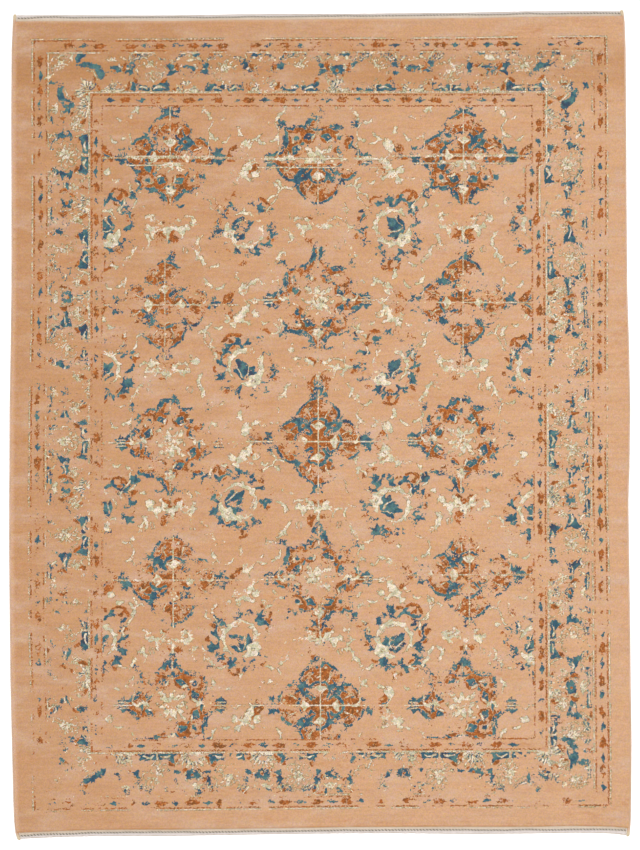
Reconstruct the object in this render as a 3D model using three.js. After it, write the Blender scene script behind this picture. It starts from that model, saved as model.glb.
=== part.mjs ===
// Hand-knotted Persian rug of wool and silk pile, laid flat with its pile up.
// The cloth is woven in one piece: a thick knotted body with a thin flat-woven kilim at each end.
// Each long side is bound by an overcast cord, and a twined row lies along each kilim.
// Sizes are millimetres. +X is the rug's right side, +Y its top end, and the floor is z = 0.
import * as THREE from 'three';
import { mergeVertices } from 'three/addons/utils/BufferGeometryUtils.js';

const PILE_HEIGHT = 8;
const KILIM_HEIGHT = 2.5;
const SIDE_CORD = { width: 8.5, height: 6.6, sides: 12, roundEnd: 4 };
const TWINED_ROW = { width: 4.4, height: 3, sides: 8, steps: 64, clear: 1.4 };
const FIT_GAP = 0.3;
const PILE_LEAN = 0.3;

// Height of the pile where it is rounded over, by distance in from its edge
const PILE_EDGE = [
  { inset: 0, height: 5.4 },
  { inset: 0.9, height: 7.1 },
  { inset: 2.8, height: PILE_HEIGHT },
];

// Outer face of each side cord, from the top end to the bottom end
const SIDES = [
  { y: 1000, left: -739.5, right: 730 },
  { y: 988, left: -740, right: 731.5 },
  { y: 970, left: -741, right: 733.5 },
  { y: 903, left: -744, right: 736 },
  { y: 758, left: -745, right: 737 },
  { y: 541, left: -744.5, right: 738 },
  { y: 324, left: -744.5, right: 740 },
  { y: 180, left: -746.5, right: 744.5 },
  { y: 35, left: -749, right: 747 },
  { y: -109, left: -749.5, right: 745 },
  { y: -182, left: -750, right: 742.5 },
  { y: -327, left: -750, right: 744.5 },
  { y: -471, left: -748.5, right: 746.5 },
  { y: -615, left: -747, right: 748 },
  { y: -760, left: -743.5, right: 750 },
  { y: -905, left: -740, right: 749 },
  { y: -953, left: -738, right: 748 },
  { y: -982, left: -735, right: 746 },
  { y: -1000, left: -729.5, right: 744 },
];

// The two ends, from left to right: edge of the kilim, line of the twined row, edge of the pile
const ENDS = {
  top: [
    { x: -740, kilim: 988, row: 980, pile: 973 },
    { x: -700, kilim: 988, row: 981, pile: 974 },
    { x: -640, kilim: 988.5, row: 982.5, pile: 974.5 },
    { x: -560, kilim: 988.5, row: 981, pile: 974 },
    { x: -460, kilim: 988, row: 982, pile: 974.5 },
    { x: -360, kilim: 988, row: 981.5, pile: 974.5 },
    { x: -217, kilim: 990.5, row: 983, pile: 977 },
    { x: -72, kilim: 992, row: 985, pile: 978 },
    { x: 73, kilim: 992, row: 986, pile: 979.5 },
    { x: 217, kilim: 993.5, row: 987, pile: 980 },
    { x: 362, kilim: 995, row: 988.5, pile: 981.5 },
    { x: 506, kilim: 998, row: 991, pile: 984.5 },
    { x: 620, kilim: 998.5, row: 992, pile: 986 },
    { x: 700, kilim: 998, row: 992, pile: 986.5 },
    { x: 745, kilim: 998, row: 991, pile: 987.5 },
  ],
  foot: [
    { x: -740, kilim: -999, row: -989.5, pile: -984 },
    { x: -700, kilim: -996.5, row: -988, pile: -982 },
    { x: -640, kilim: -994, row: -986, pile: -979.5 },
    { x: -560, kilim: -991.5, row: -983, pile: -976.5 },
    { x: -460, kilim: -991, row: -981.5, pile: -975.5 },
    { x: -360, kilim: -991, row: -981.5, pile: -975.5 },
    { x: -217, kilim: -988.5, row: -979.5, pile: -973.5 },
    { x: -72, kilim: -986, row: -977.5, pile: -971.5 },
    { x: 73, kilim: -984.5, row: -976, pile: -969 },
    { x: 217, kilim: -984.5, row: -975, pile: -968.5 },
    { x: 362, kilim: -986, row: -975.5, pile: -968.5 },
    { x: 506, kilim: -985, row: -975, pile: -968.5 },
    { x: 620, kilim: -983, row: -974, pile: -966.5 },
    { x: 700, kilim: -984.5, row: -974.5, pile: -968 },
    { x: 745, kilim: -990, row: -977, pile: -972 },
  ],
};

// Where each side cord begins and ends
const CORD_ENDS = {
  left: { top: 989.5, foot: -1000 },
  right: { top: 1000, foot: -991 },
};

const FINISHES = {
  pile: { color: 0xdea57d, roughness: 0.9, metalness: 0 },
  overcast: { color: 0xd9ab84, roughness: 0.85, metalness: 0 },
  twine: { color: 0x9a9189, roughness: 0.9, metalness: 0 },
};

// Value of one column of a table, straight between its rows
function along(rows, key, column, at) {
  const rising = rows[rows.length - 1][key] > rows[0][key];
  const last = rows.length - 2;
  const next = rows.findIndex((row) => (rising ? row[key] > at : row[key] < at));
  const first = next < 0 ? last : THREE.MathUtils.clamp(next - 1, 0, last);
  const a = rows[first];
  const b = rows[first + 1];
  const share = THREE.MathUtils.clamp((at - a[key]) / (b[key] - a[key]), 0, 1);
  return THREE.MathUtils.lerp(a[column], b[column], share);
}

// A geometry with its seams closed, so that it is one body
function closeSeams(geometry) {
  geometry.deleteAttribute('normal');
  geometry.deleteAttribute('uv');
  const closed = mergeVertices(geometry);
  closed.computeVertexNormals();
  return closed;
}

// Moves every vertex of a closed body with place
function carry(geometry, place) {
  const closed = closeSeams(geometry);
  const position = closed.attributes.position;
  const point = new THREE.Vector3();
  for (let i = 0; i < position.count; i += 1) {
    point.fromBufferAttribute(position, i);
    place(point);
    position.setXYZ(i, point.x, point.y, point.z);
  }
  closed.computeVertexNormals();
  return closed;
}

function mesh(name, geometry, finish) {
  const body = new THREE.Mesh(geometry, new THREE.MeshStandardMaterial(finish));
  body.name = name;
  return body;
}

// Columns of the cloth from its left side to its right: a share of the width, moved in by an inset
function clothColumns() {
  const edge = PILE_EDGE.map((step) => ({ share: 0, inset: step.inset, height: step.height }));
  const farEdge = edge.map((step) => ({ ...step, share: 1, inset: -step.inset })).reverse();
  const first = ENDS.top[0].x;
  const width = ENDS.top.at(-1).x - first;
  const inner = ENDS.top.slice(1, -1)
    .map((row) => ({ share: (row.x - first) / width, inset: 0, height: PILE_HEIGHT }));
  return [...edge, ...inner, ...farEdge];
}

// Rows of the cloth at one end, from the kilim's edge in over the pile's rounded edge
function endRows(end, inward) {
  const rounding = PILE_EDGE.map((step) => ({
    end, line: 'pile', shift: inward * (PILE_LEAN + step.inset), height: step.height,
  }));
  return [
    { end, line: 'kilim', shift: 0, height: KILIM_HEIGHT },
    { end, line: 'pile', shift: 0, height: KILIM_HEIGHT },
    ...rounding,
  ];
}

// Rows of the cloth from its top end to its foot end
function clothRows() {
  const body = SIDES.filter((row) => row.y < 960 && row.y > -940)
    .map((row) => ({ y: row.y, height: PILE_HEIGHT }));
  return [...endRows(ENDS.top, -1), ...body, ...endRows(ENDS.foot, 1).reverse()];
}

// The woven cloth: one solid with a flat underside, a raised pile body and thin ends
function wovenCloth() {
  const columns = clothColumns();
  const rows = clothRows();
  const reach = SIDE_CORD.width + FIT_GAP;
  const box = new THREE.BoxGeometry(1, 1, 1, columns.length - 1, rows.length - 1, 1);
  return carry(box, (point) => {
    const column = columns[Math.round((point.x + 0.5) * (columns.length - 1))];
    const row = rows[Math.round((0.5 - point.y) * (rows.length - 1))];
    const levelAt = (x) => row.y ?? along(row.end, 'x', row.line, x) + row.shift;
    const left = along(SIDES, 'y', 'left', levelAt(SIDES[0].left)) + reach;
    const right = along(SIDES, 'y', 'right', levelAt(SIDES[0].right)) - reach;
    const x = THREE.MathUtils.lerp(left, right, column.share) + column.inset;
    point.set(x, levelAt(x), point.z > 0 ? Math.min(row.height, column.height) : 0);
  });
}

// Length stations of a side cord: the table's rows between its ends, and its rounded tips
function cordStations(ends) {
  const tip = SIDE_CORD.roundEnd;
  const rounding = [0, 0.35, 1].map((share) => share * tip);
  const inside = SIDES.map((row) => row.y).filter((y) => y < ends.top - tip - 2 && y > ends.foot + tip + 2);
  return [
    ...rounding.map((step) => ends.top - step),
    ...inside,
    ...rounding.map((step) => ends.foot + step).reverse(),
  ];
}

// An overcast side cord: an oval that lies flat on the floor and rounds off at both tips
function sideCord(side) {
  const ends = CORD_ENDS[side];
  const stations = cordStations(ends);
  const inward = side === 'left' ? 1 : -1;
  const { width, height, sides, roundEnd } = SIDE_CORD;
  const rod = new THREE.CylinderGeometry(1, 1, 1, sides, stations.length - 1);
  return carry(rod, (point) => {
    const y = stations[Math.round((0.5 - point.y) * (stations.length - 1))];
    const toTip = Math.min(ends.top - y, y - ends.foot, roundEnd) / roundEnd;
    const fullness = 0.45 + 0.55 * Math.sqrt(toTip * (2 - toTip));
    const middle = along(SIDES, 'y', side, y) + (inward * width) / 2;
    const x = middle + (point.x * width * fullness) / 2;
    const z = height * (0.42 + 0.58 * point.z * fullness);
    point.set(x, y, Math.max(z, 0));
  });
}

// The twined row that lies along the kilim of one end, from one side cord to the other
function twinedRow(end) {
  const { width, height, sides, steps, clear } = TWINED_ROW;
  const reach = SIDE_CORD.width + clear;
  const left = along(SIDES, 'y', 'left', end[0].row) + reach;
  const right = along(SIDES, 'y', 'right', end.at(-1).row) - reach;
  const rise = KILIM_HEIGHT + FIT_GAP + height / 2;
  const stations = [left, ...end.slice(1, -1).map((row) => row.x), right];
  const path = new THREE.CatmullRomCurve3(
    stations.map((x) => new THREE.Vector3(x, along(end, 'x', 'row', x), rise)),
  );
  const oval = new THREE.Shape();
  oval.absellipse(0, 0, height / 2, width / 2, 0, Math.PI * 2, false, 0);
  const section = new THREE.Shape(oval.getSpacedPoints(sides).slice(0, -1));
  return closeSeams(new THREE.ExtrudeGeometry(section, { steps, extrudePath: path }));
}

const rug = new THREE.Group();
rug.add(mesh('rug_cloth', wovenCloth(), FINISHES.pile));
rug.add(mesh('side_cord_left', sideCord('left'), FINISHES.overcast));
rug.add(mesh('side_cord_right', sideCord('right'), FINISHES.overcast));
rug.add(mesh('twined_row_top', twinedRow(ENDS.top), FINISHES.twine));
rug.add(mesh('twined_row_foot', twinedRow(ENDS.foot), FINISHES.twine));

export default rug;
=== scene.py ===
"""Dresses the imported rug: knotted pile with its worn drawing, kilim ends, twined rows and side cords."""
import logging
import math
from collections.abc import Callable, Iterator, Sequence
from dataclasses import dataclass, field
from enum import Enum

import bpy
import numpy as np
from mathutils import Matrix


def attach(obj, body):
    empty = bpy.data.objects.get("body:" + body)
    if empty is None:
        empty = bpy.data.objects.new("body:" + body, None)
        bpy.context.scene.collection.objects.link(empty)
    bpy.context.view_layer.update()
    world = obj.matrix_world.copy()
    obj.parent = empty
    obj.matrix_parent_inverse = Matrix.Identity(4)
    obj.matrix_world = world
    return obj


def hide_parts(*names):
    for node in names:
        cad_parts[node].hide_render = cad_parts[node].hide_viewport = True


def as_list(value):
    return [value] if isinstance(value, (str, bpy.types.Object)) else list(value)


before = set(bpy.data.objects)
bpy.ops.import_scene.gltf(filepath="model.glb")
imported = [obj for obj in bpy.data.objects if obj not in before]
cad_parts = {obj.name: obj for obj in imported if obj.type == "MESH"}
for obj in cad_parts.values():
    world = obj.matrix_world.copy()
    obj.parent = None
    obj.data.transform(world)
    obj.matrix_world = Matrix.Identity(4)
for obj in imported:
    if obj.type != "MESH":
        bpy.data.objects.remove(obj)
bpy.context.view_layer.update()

MM = 0.001
SQUARE = 2.41  # mm, one square of the weaver's chart
FAR = 99.0  # squares, deeper than any drawing
ENDLESS = 900.0  # squares, past every end of the chart
HAIR = 0.5  # squares, half the width of a line one knot wide

Point = tuple[float, float]
Field = Callable[[np.ndarray, np.ndarray], np.ndarray]
Socket = bpy.types.NodeSocket
Feed = Socket | str | float | Sequence[float]  # a node's output, a colour as hex, or a constant
log = logging.getLogger("rug")


class Dye(Enum):
    """Yarn colours that the chart is drawn in."""

    BLUE = "blue"
    RUST = "rust"
    CREAM = "cream"


BLUE, RUST, CREAM = Dye


class Edge(Enum):
    """Sides and ends of the rug as the photo shows it."""

    LEFT = "left"
    RIGHT = "right"
    TOP = "top"
    FOOT = "foot"

    @property
    def upright(self) -> bool:
        """Whether this is a long side."""
        return self in (Edge.LEFT, Edge.RIGHT)

    @property
    def outward(self) -> int:
        """Which way is outward from the middle, along its axis."""
        return 1 if self in (Edge.RIGHT, Edge.TOP) else -1


class EndLine(Enum):
    """Lines that run along an end of the rug, in the order of its rows."""

    KILIM = 1
    ROW = 2
    PILE = 3


@dataclass(frozen=True)
class Mottle:
    """Smooth seeded noise over the chart, in patches of a given size."""

    seed: int
    patch: float
    stretch: float = 1.0
    repeat: float = 0.0

    def at(self, x: np.ndarray, y: np.ndarray) -> np.ndarray:
        """Value of the noise, between -1 and 1, at chart places.

        Args:
            x: Places across the chart, in squares.
            y: Places along the chart, in squares.

        Returns:
            The noise at each place.
        """
        across = max(1, round(self.repeat / (self.patch * self.stretch))) if self.repeat else 512
        step = self.repeat / across if self.repeat else self.patch * self.stretch
        knots = np.random.default_rng(self.seed).uniform(-1, 1, (512, across))
        u, v = x / step, y / self.patch + 256
        i, j = np.floor(u).astype(int), np.floor(v).astype(int)
        fu, fv = u - i, v - j
        fu, fv = fu * fu * (3 - 2 * fu), fv * fv * (3 - 2 * fv)
        low = knots[j % 512, i % across] * (1 - fu) + knots[j % 512, (i + 1) % across] * fu
        high = knots[(j + 1) % 512, i % across] * (1 - fu) + knots[(j + 1) % 512, (i + 1) % across] * fu
        return low * (1 - fv) + high * fv


def ease(value: np.ndarray) -> np.ndarray:
    """Smooth step from 0 to 1."""
    value = np.clip(value, 0, 1)
    return value * value * (3 - 2 * value)


def smooth_path(points: Sequence[Point], steps: int = 5, closed: bool = False) -> np.ndarray:
    """Rounds a few given points into a soft line through all of them."""
    p = np.asarray(points, float)
    if closed:
        padded = np.vstack([p[-1], p, p[0], p[1]])
    else:
        padded = np.vstack([2 * p[0] - p[1], p, 2 * p[-1] - p[-2]])
    t = np.linspace(0, 1, steps, endpoint=False)[:, None]
    spans = []
    for a, b, c, d in zip(padded, padded[1:], padded[2:], padded[3:]):
        bent = (2 * a - 5 * b + 4 * c - d) * t**2 + (3 * b - a - 3 * c + d) * t**3
        spans.append(0.5 * (2 * b + (c - a) * t + bent))
    out = np.vstack(spans)
    return out if closed else np.vstack([out, p[-1]])


def mirrored(points: Sequence[Point]) -> list[Point]:
    """An outline from the points of its left half, listed from its foot to its tip."""
    return [*points, *((-x, y) for x, y in reversed(points) if x)]


def nearest(x: np.ndarray, y: np.ndarray, a: np.ndarray, b: np.ndarray) -> tuple[np.ndarray, np.ndarray]:
    """Share of the way from a to b that lies nearest to each place, and how far off it is."""
    d = b - a
    t = np.clip(((x - a[0]) * d[0] + (y - a[1]) * d[1]) / max(d @ d, 1e-9), 0, 1)
    return t, np.hypot(x - a[0] - t * d[0], y - a[1] - t * d[1])


def depth_of_line(x: np.ndarray, y: np.ndarray, path: np.ndarray, half: np.ndarray) -> np.ndarray:
    """Depth inside a line of changing half width, negative outside it."""
    best = np.full(np.broadcast(x, y).shape, -FAR)
    for a, b, wa, wb in zip(path, path[1:], half, half[1:]):
        t, reach = nearest(x, y, a, b)
        best = np.maximum(best, wa + (wb - wa) * t - reach)
    return best


def depth_of_outline(x: np.ndarray, y: np.ndarray, path: np.ndarray) -> np.ndarray:
    """Depth inside a closed outline, negative outside it."""
    inside = np.zeros(np.broadcast(x, y).shape, bool)
    reach = np.full(inside.shape, FAR)
    for a, b in zip(path, np.roll(path, -1, axis=0)):
        reach = np.minimum(reach, nearest(x, y, a, b)[1])
        if a[1] != b[1]:
            crosses = (a[1] > y) != (b[1] > y)
            inside ^= crosses & (x < a[0] + (y - a[1]) * (b[0] - a[0]) / (b[1] - a[1]))
    return np.where(inside, reach, -reach)


class Chart:
    """The rug's drawing: for each knot, how deep it lies inside each dye, in squares."""

    UNSTEADY = ((Mottle(31, 5.0), 1.2), (Mottle(33, 2.4), 0.8))  # how the weaver's hand strays, and how far
    MARGIN = 3.0  # squares round a shape that it may touch
    HELD = 1.6  # squares round a shape that wear as it does

    def __init__(self, across: np.ndarray, along: np.ndarray) -> None:
        """Starts a bare chart.

        Args:
            across: Columns of the chart, in squares from the middle.
            along: Rows of the chart, in squares from the middle.
        """
        self.across, self.along = across, along
        shape = (len(along), len(across))
        x, y = np.meshgrid(across, along)
        self.x = x + sum(size * noise.at(x, y) for noise, size in self.UNSTEADY)
        self.y = y + sum(0.8 * size * noise.at(x + 70, y) for noise, size in self.UNSTEADY)
        self.band = (-ENDLESS, ENDLESS)
        self.steady = (x, y)
        self.calm = False
        self.dyes = {dye: np.full(shape, -FAR) for dye in Dye}
        self.kept = np.full(shape, -FAR)
        self.wear = np.full(shape, FAR)

    def paint(self, dye: Dye | None, shape: Field, low: np.ndarray, high: np.ndarray, hold: float) -> None:
        """Draws one shape over what is there; no dye leaves the ground bare.

        Args:
            dye: The shape's dye, or None.
            shape: Depth inside the shape at places on the chart.
            low: Lower left corner of the shape's reach.
            high: Upper right corner of its reach.
            hold: How much less than its surroundings the shape is worn.
        """
        (left, low_row), (right, high_row) = np.subtract(low, self.MARGIN), np.add(high, self.MARGIN)
        i0, i1 = np.searchsorted(self.across, (left, right))
        j0, j1 = np.searchsorted(self.along, (max(low_row, self.band[0]), min(high_row, self.band[1])))
        if i0 >= i1 or j0 >= j1:
            return
        part = np.s_[j0:j1, i0:i1]
        x, y = self.steady if self.calm else (self.x, self.y)
        depth = shape(x[part], y[part])
        for other, layer in self.dyes.items():
            if other is dye:
                layer[part] = np.maximum(layer[part], depth)
            else:
                layer[part] = np.minimum(layer[part], -depth)
        if dye is not None:
            self.kept[part] = np.where(depth > -self.HELD, self.wear[part] + hold, self.kept[part])

    @property
    def drawn(self) -> np.ndarray:
        """How deep each knot lies inside what is drawn and kept, in squares."""
        return np.minimum(np.maximum.reduce(list(self.dyes.values())), self.kept)


class Pen:
    """A place and turn on the chart from which motifs are drawn in their own squares."""

    def __init__(self, chart: Chart, place: Point, turn: float = 0.0, flip: bool = False,
                 scale: float = 1.0) -> None:
        """Takes up a pen.

        Args:
            chart: The chart that it draws on.
            place: Its place, in squares.
            turn: How far it is turned, in degrees anticlockwise.
            flip: Whether it draws mirrored.
            scale: Size of what it draws.
        """
        self.chart, self.place, self.turn, self.flip, self.scale = chart, place, turn, flip, scale
        c, s = math.cos(math.radians(turn)), math.sin(math.radians(turn))
        side = -1.0 if flip else 1.0
        self.frame = np.array([[c * side, s * side], [-s, c]]) * scale
        self.hold = 0.0

    def to_chart(self, points: Sequence[Point] | np.ndarray) -> np.ndarray:
        """Places on the chart of points given in the pen's own squares."""
        return np.asarray(points, float) @ self.frame + np.asarray(self.place)

    def at(self, x: float, y: float, turn: float = 0.0, flip: bool = False, scale: float = 1.0) -> "Pen":
        """A pen placed and turned from this one."""
        place = self.to_chart([(x, y)])[0]
        side = -1 if self.flip else 1
        pen = Pen(self.chart, (place[0], place[1]), self.turn + side * turn, self.flip != flip,
                  self.scale * scale)
        pen.hold = self.hold
        return pen

    def halves(self) -> Iterator["Pen"]:
        """This pen and its mirror image."""
        yield self
        yield self.at(0, 0, flip=True)

    def ring(self, count: int, first: float = 0.0) -> Iterator["Pen"]:
        """Pens turned evenly round this one's place."""
        for k in range(count):
            yield self.at(0, 0, first + k * 360 / count)

    def fill(self, dye: Dye | None, points: Sequence[Point], rim: float = 0.0, rim_dye: Dye = BLUE,
             soft: bool = True, hold: float = 0.0) -> None:
        """Draws a filled outline.

        Args:
            dye: The dye of the inside, or None for bare ground.
            points: Corners of the outline.
            rim: Width of a rim round it, if it has one.
            rim_dye: The rim's dye.
            soft: Whether the outline is rounded through its corners.
            hold: How much less than its surroundings it is worn.
        """
        p = self.to_chart(smooth_path(points, 4, closed=True) if soft else points)
        low, high = p.min(0) - rim, p.max(0) + rim
        if rim:
            self.chart.paint(rim_dye, lambda x, y: depth_of_outline(x, y, p) + rim, low, high,
                             self.hold + hold)
        self.chart.paint(dye, lambda x, y: depth_of_outline(x, y, p), low, high, self.hold + hold)

    def line(self, dye: Dye, points: Sequence[Point], wide: float, end: float | None = None,
             hold: float = 0.0, soft: bool = True) -> None:
        """Draws a line that narrows from one half width to another; a straight one stays steady.

        Args:
            dye: The line's dye.
            points: Points that it runs through.
            wide: Half its width at its start.
            end: Half its width at its end, if other than at its start.
            hold: How much less than its surroundings it is worn.
            soft: Whether it is rounded through its points.
        """
        calm, self.chart.calm = self.chart.calm, self.chart.calm or len(points) == 2
        path = self.to_chart(smooth_path(points) if soft and len(points) > 2 else points)
        half = np.linspace(wide, wide if end is None else end, len(path)) * self.scale
        self.chart.paint(dye, lambda x, y: depth_of_line(x, y, path, half),
                         path.min(0) - wide, path.max(0) + wide, self.hold + hold)
        self.chart.calm = calm

    def disc(self, dye: Dye | None, x: float, y: float, across: float, along: float | None = None,
             lobes: int = 0, cut: float = 0.2, turn: float = 0.0, hold: float = 0.0) -> None:
        """Draws a disc, an oval or a lobed blossom.

        Args:
            dye: Its dye, or None for bare ground.
            x: Its middle, across.
            y: Its middle, along.
            across: Half its width.
            along: Half its length, if other than half its width.
            lobes: Number of its lobes, or 0 for a plain edge.
            cut: Depth of the cuts between lobes, as a share of its size.
            turn: How far it is turned, in degrees.
            hold: How much less than its surroundings it is worn.
        """
        t = np.linspace(0, 2 * math.pi, 12 if not lobes else lobes * 6, endpoint=False)
        r = 1 + (cut * np.cos(lobes * t) if lobes else 0)
        along = across if along is None else along
        u, v = across * r * np.cos(t), along * r * np.sin(t)
        c, s = math.cos(math.radians(turn)), math.sin(math.radians(turn))
        p = self.to_chart(np.stack([x + u * c - v * s, y + u * s + v * c], axis=1))
        self.chart.paint(dye, lambda cx, cy: depth_of_outline(cx, cy, p), p.min(0), p.max(0),
                         self.hold + hold)

    def leaf(self, dye: Dye, points: Sequence[Point], wide: float, teeth: float = 0.0, hold: float = 0.0,
             bite: float = 0.55) -> None:
        """Draws a pointed leaf.

        Args:
            dye: The leaf's dye.
            points: Points of its middle line.
            wide: Half its width where it is widest.
            teeth: Number of saw teeth along it, or 0 for none.
            hold: How much less than its surroundings it is worn.
            bite: Depth of the teeth, as a share of its width.
        """
        path = self.to_chart(smooth_path(points, 8) if len(points) > 2 else np.linspace(points[0], points[1],
                                                                                        12))
        s = np.linspace(0, 1, len(path))
        half = wide * np.sin(math.pi * s**0.8) ** 0.7
        if teeth:
            half = half * (1 - bite * ((s * teeth) % 1.0))
        half = half * self.scale
        self.chart.paint(dye, lambda x, y: depth_of_line(x, y, path, half),
                         path.min(0) - wide, path.max(0) + wide, self.hold + hold)

    def frond(self, dye: Dye, points: Sequence[Point], wide: float, pairs: int = 3,
              hold: float = 0.0) -> None:
        """Draws a bent leaf with pointed leaflets to both sides, longest at its foot.

        Args:
            dye: The leaf's dye.
            points: Points of its middle line.
            wide: Its width, which its leaflets follow.
            pairs: Number of pairs of leaflets.
            hold: How much less than its surroundings it is worn.
        """
        self.leaf(dye, points, wide * 0.55, hold=hold)
        path = smooth_path(points, 8)
        for k in range(pairs):
            share = (k + 0.35) / pairs
            spot = round(share * 0.9 * (len(path) - 1)) + 1
            x, y = path[spot]
            ahead = path[spot] - path[spot - 1]
            turn = math.degrees(math.atan2(-ahead[0], ahead[1]))
            reach = wide * (1.75 - 0.7 * share)
            for side in (-1, 1):
                leaflet = self.at(x, y, turn + (40 + 8 * share) * side)
                leaflet.leaf(dye, [(0, 0), (0.4 * side, reach * 0.6), (0, reach)], wide * 0.36, hold=hold)


def scatter(pen: Pen, seed: int, count: int, low: Point, high: Point, dye: Dye | None = None) -> None:
    """Draws small specks over an area.

    Args:
        pen: The pen that draws them.
        seed: Seed of their places and sizes.
        count: Number of specks.
        low: Lower left corner of the area.
        high: Its upper right corner.
        dye: Their dye, or None for bare ground.
    """
    rng = np.random.default_rng(seed)
    for _ in range(count):
        x, y = rng.uniform(low, high)
        pen.disc(dye, x, y, rng.uniform(0.7, 1.5), rng.uniform(0.6, 1.1), turn=rng.uniform(0, 180))


class LobedCross:
    """Medallion of four round lobes on a cross, with split leaves and hearts at its tips."""

    def draw(self, pen: Pen) -> None:
        """Draws the medallion round the pen's place."""
        lobe = mirrored([(-8, 8), (-14, 14), (-18.5, 20), (-18.5, 29), (-12, 37), (-5, 41), (0, 43)])
        for p in pen.ring(4):
            p.fill(RUST, lobe, rim=2.8, hold=1.0)
        for p in pen.ring(4):
            self.lobe(p)
        pen.fill(RUST, [(0, 12), (12, 0), (0, -12), (-12, 0)], soft=False)
        scatter(pen, 5, 7, (-10, -10), (10, 10))
        scatter(pen, 6, 7, (-11, -11), (11, 11), BLUE)
        for p in pen.ring(4, 45):
            p.fill(BLUE, [(-5, 17), (-7, 22), (-4, 26), (-4, 31), (-1, 38), (1.5, 32), (5, 29), (6.5, 22),
                          (4, 18)],
                   soft=False)
            p.disc(RUST, 0, 22, 1.6)
        for p in pen.ring(4):
            p.line(CREAM, [(0, 0), (0, 50)], HAIR, hold=1)
            p.line(CREAM, [(0, 50), (0, 74)], HAIR, hold=-1)
        for turn in (90, -90):
            self.tip(pen.at(0, 0, turn))
        self.head(pen)
        self.root(pen.at(0, 0, 180))

    def lobe(self, p: Pen) -> None:
        """Draws the inside of one lobe: spokes, a pale ogee at its foot and worn specks."""
        for q in p.halves():
            q.disc(None, 11.0, 31.0, 2.2, 3.0, turn=-20)
            q.line(CREAM, [(7, 24), (9, 28), (11.5, 33)], HAIR, hold=3)
            q.line(BLUE, [(13, 17), (15, 22), (12, 27)], 0.8)
        scatter(p, 11, 14, (-17, 18), (17, 39))
        scatter(p, 12, 5, (-15, 20), (15, 38), CREAM)
        scatter(p, 13, 5, (-16, 16), (16, 38), BLUE)
        p.line(BLUE, [(-9, 15), (-7, 20.5), (0, 23), (7, 20.5), (9, 15)], 1.5, hold=0.8)
        p.fill(CREAM, mirrored([(0, 11.5), (-3.4, 13.8), (-6.8, 17), (-4, 18), (0, 19.6)]), hold=0.8)
        scatter(p, 16, 3, (-4, 13), (4, 18))
        for q in p.halves():
            q.leaf(BLUE, [(5, 9), (9.5, 13), (9, 20)], 1.5)

    def tip(self, p: Pen) -> None:
        """Draws the end of one cross arm: a stepped blue leaf and a rust heart."""
        for q in p.halves():
            q.fill(BLUE, [(0.8, 43), (5, 42), (7, 46), (10.5, 46), (8, 49), (10, 52), (6, 52), (4.5, 50),
                          (3, 55),
                              (0.8, 56)], soft=False, hold=1)
            q.fill(RUST, [(1, 57.5), (4, 57), (8, 60), (12, 64), (14.5, 70), (9, 68.5), (5, 66), (1, 69)],
                   hold=1.2)
            q.disc(None, 5.5, 61.5, 1.4, 1.0)
            q.line(BLUE, [(1, 62), (3, 66), (6.5, 69)], 0.8)
        scatter(p, 14, 6, (-12, 58), (12, 70))
        p.line(CREAM, [(0, 40), (0, 70)], HAIR, hold=2)

    def head(self, pen: Pen) -> None:
        """Draws what stands over the medallion: a blue crown, rust leaves and a curled stem."""
        for q in pen.halves():
            q.fill(BLUE, [(0.8, 45), (5, 45), (10, 44), (8, 48), (11, 51), (7, 53), (4.5, 51), (3, 54),
                          (1, 51)],
                   soft=False)
            q.leaf(RUST, [(3, 49), (8, 54), (7, 60)], 2.8)
            q.line(BLUE, [(1, 53), (5, 57), (4, 62), (7, 66)], 1.3, 0.8)
            q.fill(RUST, [(1.2, 64), (4, 68), (9, 71), (11, 77), (6, 78), (2, 74)])
            q.line(CREAM, [(5, 52), (8, 57)], HAIR)
        scatter(pen, 15, 5, (-9, 63), (9, 77))
        scatter(pen, 17, 8, (-12, 44), (12, 66), BLUE)

    def root(self, pen: Pen) -> None:
        """Draws what hangs under the medallion: a blue stem with hooked leaves."""
        for q in pen.halves():
            q.line(BLUE, [(1.5, 44), (4.5, 48), (2.5, 54)], 1.7, 1.0)
            q.leaf(BLUE, [(2, 50), (6, 52), (9, 57)], 1.5)
            q.leaf(RUST, [(2, 57), (6, 60), (11, 60)], 1.8)
        pen.line(CREAM, [(0, 40), (0, 54)], HAIR, hold=3)


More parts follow.
